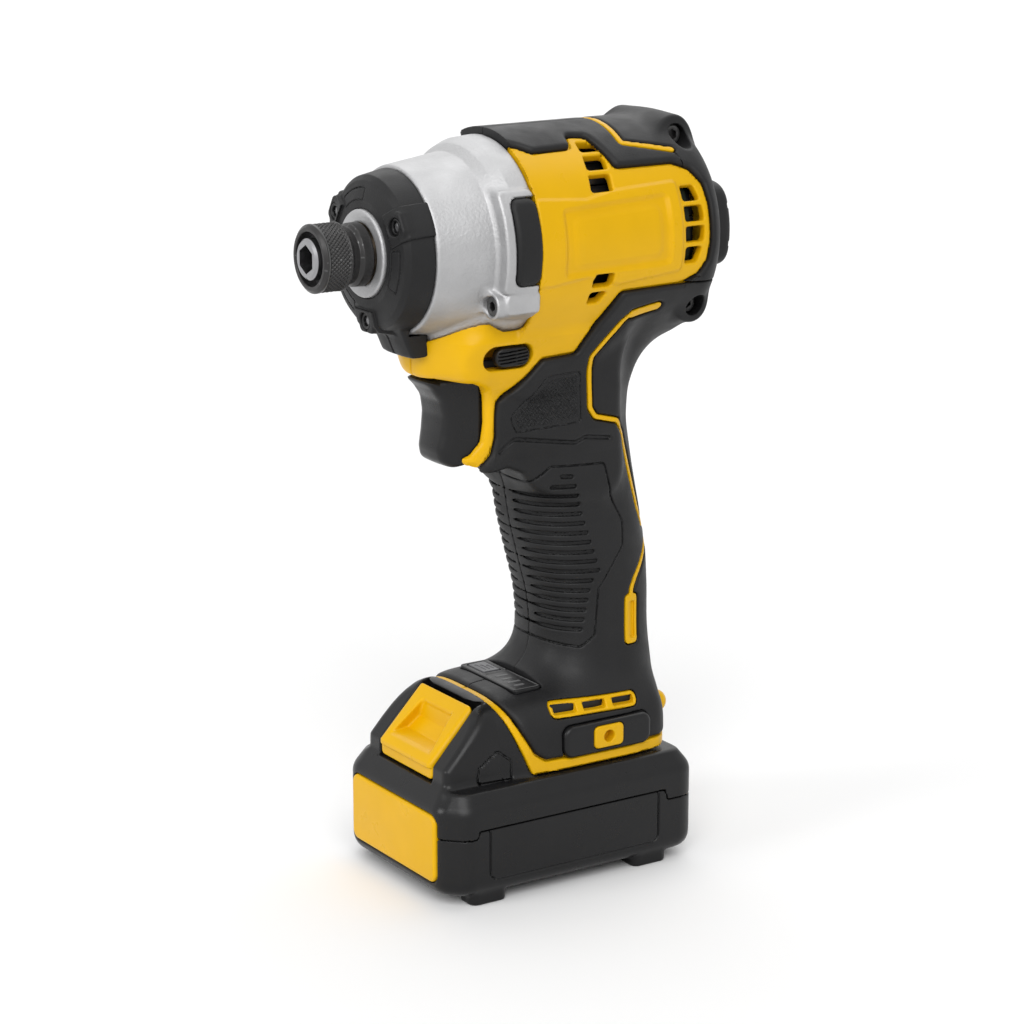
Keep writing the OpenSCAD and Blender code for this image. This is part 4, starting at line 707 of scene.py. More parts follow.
plateau = outline(fillet(arcs([(52, 29), (67.4, 26.5), (75.5, 30), (95.8, 32), (95.8, -16), (76.4, -20),
                               (66.4, -14), (56, -17), (52, -17)]), 1.5), ROUND)
window = outline(fillet(arcs([(59.7, 22), (92, 25), (92, -10.5), (59.7, -12.5)]), 1.5), ROUND)
window_inner = outline(fillet(arcs([(62.6, 17), (89.4, 20), (89.4, -6.5), (62.6, -8)]), 2.5), ROUND)
vent_edges = chart(lambda u, v: np.min([poly(u, v, w) for w in VENT_OUTLINES], 0), *ROUND)


def ease(d, width):
    """1 well inside an outline, 0 outside it, eased over width."""
    x = np.clip(0.5 - d / width, 0, 1)
    return x * x * (3 - 2 * x)


def vents(s, y, h):
    return meet(vent_edges(s, turn(y, h)), VENT_DEPTH_R - np.hypot(y, h))


def yellow(s, y, h):
    """Both shells of the housing as one field."""
    t = turn(y, h)
    shell = hard(s, y, h)
    shell = shell - PLATEAU_RISE * ease(plateau(s, t), 1.6)
    shell = shell + WINDOW_DROP * ease(window(s, t), 1.7)
    shell = shell - WINDOW_INNER_RISE * ease(window_inner(s, t), 2.2)
    covered = join(grip_edge(s, h), top_area(s, y, h))
    f = cut(shell, meet(covered - 0.4, -(shell + 0.7)), 0.3)
    skin = soft(s, y, h)
    raised = join(stripes(s, h), zigzag(s, y, h), foot_vents(s, y, h))
    f = smin(f, smax(skin + 0.1, raised, 0.4), 0.3)
    f = smin(f, smax(meet(skin + 0.4, h - BAND_TOP), 0.35 - covered, 0.4), 0.3)
    bump = np.hypot(np.hypot(s - FOOT_BUMP[0], abs(y) - FOOT_BUMP[1]), h - FOOT_BUMP[2]) - FOOT_BUMP_R
    f = smin(f, bump, 0.5)
    f = cut(f, meet(tab_pocket(s, h), -(skin + 0.9)), 0.4)
    f = cut(f, meet(np.hypot(y, h) - lip(s) - 0.15, s - CASE_BACK - 0.05), 0.5)
    f = cut(f, inside(s, y, h), 0.5)
    f = cut(f, meet(TAIL_VOID[0] - s, slab(h, *TAIL_VOID[1:3]), abs(y) - TAIL_VOID[3]), 0.3)
    f = cut(f, screw_pits(s, y, h) - 0.9, 0.3)
    f = carve(f, (s, y, h), (vents, 0.6), (trigger_room, 0.8), (battery_channel, 0.4))
    f = cut(f, panel_room(s, y, h, 3), 0.3)
    return carve(f, (s, y, h), (hook_room, 0.3), (foot_slots, 0.3), (lever_room, 0.6))


def side_of(field, side):
    """One half of a field, parted at the middle plane."""
    return lambda s, y, h: smax(field(s, y, h), -0.01 - y * side, 0.5)


RIB_COUNT, RIB_TOP, RIB_PITCH = 17, -61.6, -2.72
RIB_INSET, RIB_HALF, RIB_DEPTH = 0.8, 0.5, 0.75
STIPPLE_HEIGHT, STIPPLE_WAVE = 0.2, 0.7
# Rear end of the ribs by their number
RIB_BACK = ((0, 10, 11.3, 16), (68.6, 78.2, 75.8, 73.8))


def rib_lines(u, v):
    """Grooves across the side of the handle."""
    ribs = []
    for k in range(RIB_COUNT):
        level = RIB_TOP + k * RIB_PITCH
        front = float(np.interp(level, *GRIP_FRONTS)) + (RIB_INSET if k > 1 else 8 - 3 * k)
        ribs.append(line(u, v, [(front, level + 0.2), (float(np.interp(k, *RIB_BACK)), level)]))
    return join(*ribs)


palm_edge = stroke(fillet([
    (51, -62.6), (56.6, -63), (60.6, -60.4), (62.8, -58.4), (78.6, -59), (81, -68), (85.8, -76.3),
    (85.9, -83), (78.4, -94.2), (77.6, -107), (73.7, -110), (58, -107.5)], 1.5, closed=False), SIDE)
knuckle_edge = stroke(fillet([(48, -52.8), (52.3, -50), (69.5, -52.4), (72.4, -51.2), (80, -52.4)], 1.5,
                             closed=False), SIDE)
stipple_edge = outline(fillet([(60.2, -33.6), (70.6, -33.3), (70.8, -46.7), (52.5, -48.2), (50.8, -44)],
                              1.5), SIDE)
STIPPLE_PITCH = 1.15
rib_field = chart(rib_lines, *SIDE, cell=0.2)


def grip(s, y, h):
    skin = soft(s, y, h)
    k = 2 * math.pi / STIPPLE_PITCH
    dots = np.sin(k * s + STIPPLE_WAVE * np.sin(k * 0.5 * h)) * np.sin(k * h)
    skin = skin - STIPPLE_HEIGHT * dots * np.clip(-stipple_edge(s, h) - 0.3, 0, 1)
    f = smax(skin, grip_edge(s, h) + 0.1, np.where((s > 98) & (h > -40), 0.3, 1.5))
    f = smin(f, boss(s, y, h, 1), 2.5)
    f = cut(f, screw_pits(s, y, h), 0.5)
    f = cut(f, stripes(s, h) - 0.25, 0.9)
    f = cut(f, meet(rib_field(s, h) - RIB_HALF, -(skin + RIB_DEPTH)), 0.5)
    f = cut(f, meet(palm_edge(s, h) - 0.2, -(skin + 0.45)), 0.35)
    f = cut(f, meet(knuckle_edge(s, h) - 0.35, -(skin + 0.5)), 0.9)
    f = cut(f, meet(abs(stipple_edge(s, h)) - 0.12, -(skin + 0.25)), 0.25)
    f = cut(f, foot_vents(s, y, h) - 0.25, 0.5)
    return carve(f, (s, y, h), (trigger_room, 0.6), (lever_room, 0.6), (panel_room, 0.3), (hook_room, 0.4),
                 (battery_channel, 0.4))


def under_skin(s, y, h):
    """Negative where the overmould's faces lie on the shell, out of sight."""
    shown = join(panel_room(s, y, h, 3.2), screw_pits(s, y, h) - 1.3)
    return meet(hard(s, y, h) + 0.35, -shown)


def top_pad(s, y, h):
    f = smax(soft(s, y, h), top_area(s, y, h) + 0.15, 1.5)
    f = meet(f, -zigzag_cut(s, turn(y, h)))
    return cut(f, zigzag_line(s, turn(y, h)) - ZIGZAG_HALF - 0.25, 0.8)


def rear_cap(s, y, h):
    f = smax(soft(s, y, h), top_area(s, y, h) + 0.1, np.where(grip_edge(s, h) < 1.5, 0.3, 1.5))
    f = meet(f, zigzag_cut(s, turn(y, h)))
    f = cut(f, zigzag_line(s, turn(y, h)) - ZIGZAG_HALF - 0.25, 0.8)
    return cut(smin(f, boss(s, y, h, 0), 3.5), screw_pits(s, y, h), 0.5)


for side, word in ((1, "left"), (-1, "right")):
    y0, y1 = (-0.8, 31) if side > 0 else (-31, 0.8)
    build(f"housing_{word}_shell", side_of(yellow, side), (25, y0, -142), (115, y1, 31), 0.52, "tool",
          f"housing_{word}")
    build(f"grip_{word}_overmould", side_of(grip, side), (36, y0, -139), (117, y1, -5), 0.42, "tool",
          f"grip_{word}", hidden=under_skin)
    build(f"top_pad_{word}_overmould", side_of(top_pad, side), (52, y0, 10), (112, y1, 32), 0.5, "tool",
          f"top_pad_{word}", hidden=under_skin)
build("rear_cap_overmould", rear_cap, (82, -31, -26), (117, 31, 34), 0.5, "tool", "rear_cap",
      hidden=under_skin)


def vent_shade_rings(s, y, h):
    """Dark rings just inside the barrel, behind the vents: painted shade that stands for the shadowed inside
    seen through them.
    """
    ring = slab(np.hypot(y, h), BODY_R - WALL - 3, BODY_R - WALL - 2.4)
    return smax(ring, join(slab(s, 66, 81), slab(s, 94.5, 103.2)), 0.2)


# Painted shade: dark rings behind the barrel's vents, so the openings read as shadowed
build("vent_painted_shade_rings", vent_shade_rings, (65, -27, -27), (104.5, 27, 27), 0.6, "tool", None,
      "black_plastic")
# Painted shade: a dark sheet at the bottom of the foot's slots, so they read as shadowed openings
build("foot_slot_painted_shade", slot_shade_ground, (58.5, -24, -128), (88, 24, -121), 0.4, "tool", None, "black_plastic")

# Nose: gear case, bumper, lights, collar
TURNED = ((-2, 66), (-6, 40))
case_profile = outline(fillet([
    (15.75, -5), (15.75, 11.3), (18.8, 11.3), (18.8, 17.9), (25.5, 17.9), (25.5, 21.5), (26.1, 21.8),
    (41.2, 23.9), (43.6, 25.9), (46.6, 27.2), (52.35, 27.6), (52.35, 25.6), (62.6, 25.6),
    (62.6, -5)], 0.6), TURNED)
case_bore = outline([(10, -6), (10, 7.95), (16.4, 7.95), (16.4, 8.8), (25.5, 8.8), (25.5, 18.9),
                     (53.2, 18.9), (53.2, 22.8), (66, 22.8), (66, -6)], TURNED)
bumper_profile = outline(fillet([
    (16.6, 11.4), (16.6, 13.8), (17.8, 18.4), (19, 19.8), (25.4, 21), (25.4, 18.1), (18.9, 18.1),
    (18.9, 11.4)], 0.28), TURNED)
LIGHT_ORBIT = 17.4
LIGHT_HOLE_R, LIGHT_FLOOR = 2.25, 18.9
LIGHT_ANGLES = [math.radians(a) for a in (30, 150, 270)]
EAR_Y, EAR_H, EAR_R = 22.94, -12.45, 3.5
CASE_FACE = 52.3
EAR_HOLE_R, EAR_HOLE_FLOOR, EAR_BOLT_R = 2.6, 43.1, 1.55
PAD_BOX, PAD_ROUND, PAD_INNER = (44.8, 52.4, -7.4, 14.5), 2.4, 12
PAD_R, RIM_R, PAD_FLOOR = 28.95, 28.3, 25.2


def gear_case(s, y, h):
    rho, ay = np.hypot(y, h), abs(y)
    f = case_profile(s, rho)
    keel = smax(smax(bow(s, y, CHIN_HALF) + 0.9, rho - lip(s), 0.6), slab(s, 26.2, CASE_FACE), 0.5)
    f = smin(f, meet(keel, h + 10), 1.2)
    ear = smax(np.hypot(ay - EAR_Y, h - EAR_H) - EAR_R, slab(s, 40.2, CASE_FACE), 0.5)
    web = smax(box2(s, h, 43.5, CASE_FACE, EAR_H - 1.8, EAR_H + 2.6, 0.5), slab(ay, 15, 26.2), 0.5)
    f = smin(f, smin(ear, web, 1.6), 2.2)
    rim = smax(box2(s, h, PAD_BOX[0] - 2.9, CASE_FACE, PAD_BOX[2] - 1.9, PAD_BOX[3] + 2, 1.6),
               rho - RIM_R, 0.7)
    f = smin(f, meet(rim, PAD_INNER - ay), 0.8)
    pad = meet(box2(s, h, PAD_BOX[0] - 0.1, 56, PAD_BOX[2] - 0.1, PAD_BOX[3] + 0.1, PAD_ROUND),
               PAD_FLOOR - rho)
    f = cut(f, meet(pad, PAD_INNER - ay), 0.4)
    f = cut(f, case_bore(s, rho), 0.4)
    from_bolt = np.hypot(ay - EAR_Y, h - EAR_H)
    hole = meet(from_bolt - EAR_HOLE_R, s - EAR_HOLE_FLOOR)
    return cut(cut(f, hole, 0.4), from_bolt - EAR_BOLT_R, 0.2)


def side_pad(s, y, h):
    rho, ay = np.hypot(y, h), abs(y)
    face = rho - PAD_R - 0.3 * np.exp(-((h - 3.5) / 6) ** 2)
    f = smax(box2(s, h, *PAD_BOX, PAD_ROUND), face, 1.6)
    return meet(f, 25.3 - rho, PAD_INNER - ay)


def along_ray(y, h, a):
    """Distances along and across the ray at angle a."""
    return y * math.cos(a) + h * math.sin(a), -y * math.sin(a) + h * math.cos(a)


def from_lights(y, h):
    """Distances from the middle of each light."""
    rays = [along_ray(y, h, a) for a in LIGHT_ANGLES]
    return [np.hypot(out - LIGHT_ORBIT, across) for out, across in rays]


# Bridges and blocks that carry the lights, and the plain inlays that sit a turn further round
BRIDGE_RISE, BRIDGE_HALF, BRIDGE_INNER = 0.8, 4.5, 14.4
BLOCK_BOX, BLOCK_STATIONS = (13.8, 20.5, -3.5, 3.5, 1.6), (17.1, 22)
INLAY, INLAY_R, INLAY_TURN = (-5.2, 5.2, 13.6, 16.6, 0.4), 15, math.radians(40)
INLAY_LINE, INLAY_DEPTH = 0.14, 0.3
# Tab under the chin, which reaches further out as it rises, with a groove down its middle
TAB_BOW, TAB_HALF, TAB_LEVELS = 16, 7.6, (-27.2, -12)
TAB_REACH, TAB_MORE, TAB_LOW, TAB_RISE = 4.7, 3.4, -27, 8
GROOVE_HALF, GROOVE_DEPTH, GROOVE_TOP = 0.25, 0.4, -19


def nose_bumper(s, y, h):
    rho = np.hypot(y, h)
    base = bumper_profile(s, rho)
    f = base
    angle = np.arctan2(h, y)
    for a in LIGHT_ANGLES:
        out, across = along_ray(y, h, a)
        bridge = smax(base - BRIDGE_RISE, abs(across) - BRIDGE_HALF, 0.35)
        f = smin(f, meet(bridge, BRIDGE_INNER - out), 0.35)
        block = smax(box2(out, across, *BLOCK_BOX), slab(s, *BLOCK_STATIONS), 0.6)
        f = smin(f, block, 0.5)
        turned = (angle - a + INLAY_TURN + math.pi) % (2 * math.pi) - math.pi
        inlay = abs(box2(turned * INLAY_R, rho, *INLAY)) - INLAY_LINE
        f = cut(f, meet(inlay, -(base + INLAY_DEPTH)), 0.25)
    for r in from_lights(y, h):
        f = cut(f, meet(r - LIGHT_HOLE_R, s - LIGHT_FLOOR), 0.4)
    front = bow(s, y, TAB_BOW)
    reach = TAB_REACH + TAB_MORE * np.clip((h - TAB_LOW) / TAB_RISE, 0, 1)
    tab = smax(smax(slab(front, 0.1, reach) * 0.9, abs(y) - TAB_HALF, 0.8), slab(h, *TAB_LEVELS), 1)
    tab = meet(tab, np.where(s > 25.4, 22.4, 18.2) - rho)
    f = smin(f, tab, 1)
    return cut(f, meet(abs(y) - GROOVE_HALF, reach - GROOVE_DEPTH - front, h - GROOVE_TOP), 0.3)


def light_ring(s, y, h):
    """Holders of the lights."""
    tube = slab(s, 17.1, LIGHT_FLOOR)
    return join(*[smax(abs(r - 1.8) - 0.45, tube, 0.4) for r in from_lights(y, h)])


def lens(s, y, h):
    return join(*[smax(r - 1.4, slab(s, 17.5 + 0.18 * r * r, LIGHT_FLOOR), 0.3) for r in from_lights(y, h)])


build("gear_case_cast", gear_case, (14, -30.5, -30.5), (64, 30.5, 30.5), 0.5, "tool", "gear_case")
build("side_pads_soft", side_pad, (43, -31, -10), (54, 31, 17), 0.4, "tool", "side_pads")
build("nose_bumper_soft", nose_bumper, (14, -24, -29.5), (31, 24, 24), 0.33, "tool", "nose_bumper")
build("light_holders", light_ring, (16, -21, -21), (19.8, 21, 13), 0.2, "tool", None, "black_plastic")
build("light_lenses", lens, (16.5, -21, -21), (19.8, 21, 13), 0.2, "tool", "nose_lenses")


def lathe(name, profile, turns, body, node, relief):
    """A piece turned about the drive axis from (s, radius) points; relief lowers its radius by place."""
    prof = np.array(profile)
    a = np.arange(turns) / turns * 2 * math.pi
    s = np.repeat(prof[:, 0], turns)
    r = np.repeat(prof[:, 1], turns)
    a = np.tile(a, len(prof))
    r = r - relief(s, a, r)
    p = np.stack([s, r * np.cos(a), r * np.sin(a)], 1)
    i, j = np.meshgrid(np.arange(len(prof)), np.arange(turns), indexing="ij")
    n = len(prof)
    quads = np.stack([i * turns + j, i * turns + (j + 1) % turns, (i + 1) % n * turns + (j + 1) % turns,
                      (i + 1) % n * turns + j], -1).reshape(-1, 4)
    add_piece(name, to_frame(p), quads, None, body, node)


def dense(points, gap):
    """Points along a closed outline, no further apart than gap."""
    out = []
    for (x0, y0), (x1, y1) in zip(points, points[1:] + points[:1]):
        n = max(int(math.hypot(x1 - x0, y1 - y0) / gap), 1)
        out += [(x0 + (x1 - x0) * k / n, y0 + (y1 - y0) * k / n) for k in range(n)]
    return out


KNURL = (2.3, 8.5)
KNURL_COUNT = 46
KNURL_PITCH = 1.25
KNURL_DEPTH, KNURL_FROM_R = 0.5, 8.3
COLLAR_TURNS = KNURL_COUNT * 8


def knurl(s, a, r):
    """Depth of the crossed grooves of the collar's grip."""
    u, v = a * KNURL_COUNT / (2 * math.pi), s / KNURL_PITCH
    saw = lambda w: abs((w % 1) - 0.5) * 2
    low = join(saw(u + v), saw(u - v))
    fade = np.clip(join(s - KNURL[0], KNURL[1] - s) / 0.3, 0, 1)
    return np.where(r > KNURL_FROM_R, (1 - low) * KNURL_DEPTH * fade, 0)


COLLAR = fillet([
    (0.8, 6.9), (0.8, 7.9), (1.5, 8.8), (2.1, 8.8), (8.8, 8.8), (9.4, 8.2), (9.7, 7.5), (11.6, 7.35),
    (12.4, 8.1), (15.2, 8.2), (15.2, 5.4), (11.2, 5.4), (11.2, 6.9)], 0.35, n=3)
lathe("collar_knurled", dense(COLLAR, 0.12), COLLAR_TURNS, "collar", "collar", knurl)


# Trigger and direction lever
TRIGGER_SIDE = fillet([
    (31.2, -34.4), (33.4, -36.6), (35.8, -40), (36.6, -44.2), (36, -49), (35.1, -53.2), (35.7, -56.2),
    (38.2, -57.7), (40.6, -57), (43, -55.4), (47, -54.8), (47, -31.2)], 4, n=8)
trigger_side = chart(lambda u, v: poly(u, v, TRIGGER_SIDE), (25, 55), (-65, -28))
TRIGGER_BACK, TRIGGER_BOW = 47, 0.012
SPRING_LEVEL, SPRING_R, SPRING_FRONT = -44.4, 4.2, 39.2
LEVER_OVAL = (44.4, 55.2, -29.9, -24.4, 2.7)
LEVER_MID, LEVER_LEN, LEVER_OUT, LEVER_CROWN = 49.8, 10.8, 18.7, 0.5
LEVER_INNER, LEVER_RIB_PITCH = 16.8, 0.9
LEVER_RIB_LEVEL, LEVER_RIB_LEAN, LEVER_RIB_HALF, LEVER_RIB_FLOOR = -27.1, 0.06, 0.14, 18.3
LEVER_BAR, LEVER_BAR_LEVELS, LEVER_BAR_HALF = (43.1, 54.9), (-31.6, -28.3), 13.8


def trigger(s, y, h):
    """Scooped trigger: a rounded front that runs over a soft ridge into flat sides."""
    ay = abs(y)
    f = smax(trigger_side(s - TRIGGER_BOW * y * y, h), (ay - trigger_half(s)) * 0.89, 2.4)
    spring = meet(np.hypot(y, h - SPRING_LEVEL) - SPRING_R, SPRING_FRONT - s)
    return meet(cut(f, spring, 0.3), s - TRIGGER_BACK)


def lever(s, y, h):
    ay = abs(y)
    oval = box2(s, h, *LEVER_OVAL)
    crown = ay - LEVER_OUT - LEVER_CROWN * np.cos((s - LEVER_MID) / LEVER_LEN * math.pi)
    f = smax(oval, crown, 1.4)
    f = meet(f, LEVER_INNER - ay)
    level = h - LEVER_RIB_LEVEL - LEVER_RIB_LEAN * (s - 49)
    ribs = abs(level % LEVER_RIB_PITCH - LEVER_RIB_PITCH / 2) - LEVER_RIB_HALF
    f = cut(f, meet(ribs, oval + 0.8, LEVER_RIB_FLOOR - ay), 0.3)
    return join(f, meet(slab(s, *LEVER_BAR), slab(h, *LEVER_BAR_LEVELS), ay - LEVER_BAR_HALF))


build("trigger_soft", trigger, (29, -12, -60), (49, 12, -30), 0.4, "trigger", "trigger")
build("direction_paddles", lever, (40, -21.5, -33), (58, 21.5, -22), 0.3, "direction_lever",
      "direction_lever")


# Rear bumper, control panel, hook seats
TAIL_R, TAIL_MID, TAIL_HALF, TAIL_RIB = 23.4, 1.6, 11.2, 5


def tail(s, y, h):
    f = smax(np.hypot(y, h) - TAIL_R, abs(h - TAIL_MID) - TAIL_HALF, 4)
    f = smax(f, s - TOOL_LEN - 0.6, 2.4)
    f = meet(f, BODY_BACK - 1.5 - s)
    rib = meet(abs(abs(h - TAIL_MID) - TAIL_RIB) - 0.45, TOOL_LEN - 0.1 - s)
    return cut(f, rib, 0.5)


PANEL_TOP = -118.95
PLATE = (53.15, 62.05, -13.95, 13.95, PANEL_ROUND)
KEY_PIT, KEY = (54.7, 60.5, -12.7, -3.7, 0.6), (54.95, 60.25, -12.25, -3.95, 0.5)
PANEL_FRAMES = ((53.9, 61.3, -13.3, -2.9, 0.5), (53.9, 61.3, -2.1, 13.3, 0.5))
BAR_COUNT, BAR_PITCH = 4, 3.1
KEY_LINE, KEY_LINE_COUNT, KEY_LINE_PITCH, KEY_LINE_CUT = (56, 56.6, -10.6, -5.4, 0.2), 3, 1.3, 0.9
HOOK_PLATE, HOOK_OUT, HOOK_SEAT = (62, 90, -136.8, -128.1, 2.8), 25.3, (71.2, 80.8, -135.6, -129.2, 1.4)
HOOK_INSERT, INSERT_OUT, INSERT_IN = (71.3, 80.7, -135.5, -129.3, 1.4), 25.65, 21
HOOK_HOLE = (76, -132.44, 1.6)


def panel(s, y, h):
    f = smax(box2(s, y, *PLATE), slab(h, -121.3, PANEL_TOP), 0.4)
    key = meet(box2(s, y, *KEY_PIT), -120.85 - h)
    return cut(f, key, 0.2)


def button(s, y, h):
    f = smax(box2(s, y, *KEY), slab(h, -119.95, PANEL_TOP + 0.2), 0.4)
    front, back, right, left, r = KEY_LINE
    lines = [(k * KEY_LINE_PITCH, k * KEY_LINE_CUT) for k in range(KEY_LINE_COUNT)]
    grooves = [box2(s, y, front + on, back + on, right + less, left, r) for on, less in lines]
    return cut(f, meet(join(*grooves), PANEL_TOP - h), 0.15)


def panel_marks(s, y, h):
    """Thin frames of the panel's two fields and plain bars in the wider one."""
    d = join(*[abs(box2(s, y, *edge)) for edge in PANEL_FRAMES]) - 0.13
    for k in range(BAR_COUNT):
        bar = box2(s, y, 55.6, 59.4 - 0.7 * (k % 2), 0.2 + BAR_PITCH * k, 1.4 + BAR_PITCH * k, 0.3)
        d = join(d, bar)
    return meet(d, slab(h, PANEL_TOP - 0.3, PANEL_TOP + 0.1))


def hook_plate(s, y, h):
    ay = abs(y)
    f = smax(box2(s, h, *HOOK_PLATE), ay - HOOK_OUT, 1.4)
    f = meet(f, 22.8 - ay)
    return cut(f, box2(s, h, *HOOK_SEAT), 0.3)


def hook_insert(s, y, h):
    ay = abs(y)
    f = smax(box2(s, h, *HOOK_INSERT), ay - INSERT_OUT, 0.7)
    f = meet(f, INSERT_IN - ay)
    return cut(f, meet(np.hypot(s - HOOK_HOLE[0], h - HOOK_HOLE[1]) - HOOK_HOLE[2], INSERT_IN + 0.2 - ay),
               0.5)


build("tail_bumper_soft", tail, (107, -25, -12), (117, 25, 15), 0.45, "tool", "tail_bumper")
build("control_panel_plate", panel, (52, -15, -123), (63.5, 15, -117.5), 0.25, "tool", "control_panel")
build("control_panel_marks", panel_marks, (53, -14.5, -119.6), (62.5, 14.5, -117.8), 0.16, "tool", None,
      "grey_plastic", material=MARK)
build("mode_button_key", button, (54, -13.5, -121), (61.5, -3, -117.5), 0.2, "mode_button", "mode_button")
build("hook_plates_pair", hook_plate, (60, -27, -139), (92, 27, -126), 0.4, "tool", "hook_plates")
build("hook_inserts_pair", hook_insert, (70, -27, -137), (82, 27, -128), 0.3, "tool", "hook_inserts")


# Battery
PACK_VIEW = ((20, 106), (-176, -115))
SEAM_LINE = [(0, -152.3), (32.6, -152.3), (33.4, -150.2), (92.5, -150.2), (93.6, -153.2), (130, -153.2)]
seam_low = outline(SEAM_LINE + [(130, -190), (0, -190)], PACK_VIEW)
dome_side = outline(fillet([(27.6, -147), (27.8, -135.4), (39.2, -123), (41.2, -119.8), (43, -116),
                            (46, -116), (54.2, -140.4), (56, -147)], 1.4), PACK_VIEW)
latch_side = outline(fillet([
    (27, -139.4), (27, -134.9), (38.8, -122.7), (40.4, -121.1), (41, -122.8), (35.4, -134.2),
    (32, -136), (31.6, -139.4)], 0.8), PACK_VIEW)
latch_scoop = outline(fillet([(26.6, -132.2), (29.2, -132.9), (34.2, -132.2), (37.2, -129.2),
                              (37.8, -125.2), (36.4, -120), (22, -124)], 0.8), PACK_VIEW)
latch_room = outline([(20, -140), (20, -130), (33, -117), (40.9, -117), (41.3, -120.9), (43.7, -120.9),
                      (43.7, -126), (40, -134.4), (38, -140)], PACK_VIEW)
dome_gap = outline([(60, -90), (44.4, -90), (44.4, -120.3), (53.25, -140.6), (53.25, -150), (60, -150)],
                   PACK_VIEW)
DOME_MARK = fillet([(37.2, -140.2), (37.8, -136), (43.4, -132.1), (47.2, -135.1), (47.2, -140.2)], 0.8)
dome_mark = chart(lambda u, v: abs(poly(u, v, DOME_MARK)) - 0.22, *PACK_VIEW)
PACK_FRONT, PACK_BACK, PACK_HALF = 23.6, 103.2, 28.3
PACK_CORNERS = (6, 3)
PLATE_HALF, PLATE_LOW, PLATE_HIGH, PLATE_DEPTH = 21.3, -165, -146.4, 1.6
PACK_FEET, FOOT_ASIDE, FOOT_LOW = ((31.8, 43), (83.6, 94.8)), (19.2, 26.6), -171.5
SIDE_MARK = (36.5, 90.5, -164.5, -140, 2.5)
DOME_HALVES, DOME_DROP, LATCH_HALF = ((28, 44, 53), (20.4, 20.9, 22.8)), 0.8, 13.1
BLOCK_SPAN, BLOCK_TOWER, BLOCK_NECK = (44, 91.9), (-135, -126.1, 19.1), (-143, -134.6, 16.5)
COVER_LEAN, COVER_BEND = 3.1 / 4.2, -144.9
PILLOW_RISE, PILLOW_LEVEL, PILLOW_HALF = 0.35, -155.3, 9.7
SCOOP_HALF, SCOOP_LEAN, SCOOP_LEVEL = 9.6, 0.3, -132
STEP_LEVELS, STEP_BACK = (-140, -136.4), 27.75


def pack(s, y):
    """Plan of the battery, its corners cut off."""
    along, aside = slab(s, PACK_FRONT, PACK_BACK), abs(y) - PACK_HALF
    corner = np.where(s < (PACK_FRONT + PACK_BACK) / 2, *PACK_CORNERS)
    return smax(smax(along, aside, 1.5), (along + aside + corner) / math.sqrt(2), 2)


def front_plate(y, h, grow):
    return box2(y, h, -PLATE_HALF - grow, PLATE_HALF + grow, PLATE_LOW - grow, PLATE_HIGH + grow,
                2.6 + grow)


def battery_case(s, y, h):
    wall = pack(s, y)
    f = smax(wall, CASE_LOW - h, 5.5)
    feet = join(*[box2(s, abs(y), *ends, *FOOT_ASIDE, 2.2) for ends in PACK_FEET])
    feet = smax(feet, FOOT_LOW - h, 0.8)
    f = smin(f, meet(feet, h + 166), 1)
    f = meet(f, seam_low(s, h) + 0.12)
    f = cut(f, meet(abs(box2(s, h, *SIDE_MARK)) - 0.22, -(wall + 0.4)), 0.3)
    return cut(f, meet(front_plate(y, h, 0.25), s - PACK_FRONT - PLATE_DEPTH), 0.5)


def cover_block(s, y, h):
    wall = pack(s, y)
    slope_face = (wall + (h - COVER_BEND) * COVER_LEAN) / math.hypot(1, COVER_LEAN)
    return smax(smax(wall, slope_face, 1), h - COVER_TOP, 0.8)


def battery_cover(s, y, h):
    ay = abs(y)
    f = cover_block(s, y, h)
    half = np.interp(s, *DOME_HALVES)
    arch = bowed(y, np.maximum(h - FOOT_BOTTOM, 0), half, FOOT_TOP - DOME_DROP - FOOT_BOTTOM, FOOT_POWER)
    dome = meet(smax(dome_side(s, h), arch, 2.5), -dome_gap(s, h))
    f = smin(f, dome, 2.2)
    tower = meet(slab(s, *BLOCK_SPAN), slab(h, *BLOCK_TOWER[:2]), ay - BLOCK_TOWER[2])
    neck = meet(slab(s, *BLOCK_SPAN), slab(h, *BLOCK_NECK[:2]), ay - BLOCK_NECK[2])
    f = join(f, tower, neck)
    f = meet(f, -seam_low(s, h) + 0.12)
    f = meet(f, -163 - h)
    f = cut(f, meet(latch_room(s, h), ay - LATCH_HALF - 0.5), 0.3)
    f = cut(f, meet(dome_mark(s, h), -(arch + 0.35), 14 - ay), 0.3)
    return cut(f, meet(front_plate(y, h, 0.25), s - PACK_FRONT - PLATE_DEPTH), 0.5)


def battery_panel(s, y, h):
    across, up = 1 - (y / PLATE_HALF) ** 2, 1 - ((h - PILLOW_LEVEL) / PILLOW_HALF) ** 2
    pillow = PILLOW_RISE * np.maximum(across, 0) * np.maximum(up, 0)
    f = smax(front_plate(y, h, 0), PACK_FRONT - 0.35 - pillow - s, 1)
    return meet(f, s - PACK_FRONT - 1.5)


def latch(s, y, h):
    ay = abs(y)
    f = smax(latch_side(s, h), ay - LATCH_HALF, 1.8)
    scoop = smax(latch_scoop(s, h), ay - SCOOP_HALF + SCOOP_LEAN * (h - SCOOP_LEVEL), 1)
    f = cut(f, scoop, 0.9)
    step = meet(slab(h, *STEP_LEVELS), s - STEP_BACK)
    return cut(f, step, 0.6)


build("battery_case_shell", battery_case, (22, -30, -173), (105, 30, -148), 0.6, "battery", "battery_case")
build("battery_cover_shell", battery_cover, (22, -30, -166), (105, 30, -118), 0.5, "battery",
      "battery_cover")
build("battery_front_plate", battery_panel, (22, -23, -167), (27, 23, -144), 0.4, "battery",
      "battery_panel")
build("battery_latch_button", latch, (25.5, -15, -141.5), (44, 15, -120), 0.35, "latch", "battery_latch")


# CAD pieces that show as they are
for name, node in frame["nodes"].items():
    node.data.materials.clear()
    node.data.materials.append(BY_SLOT[SLOTS[name]])


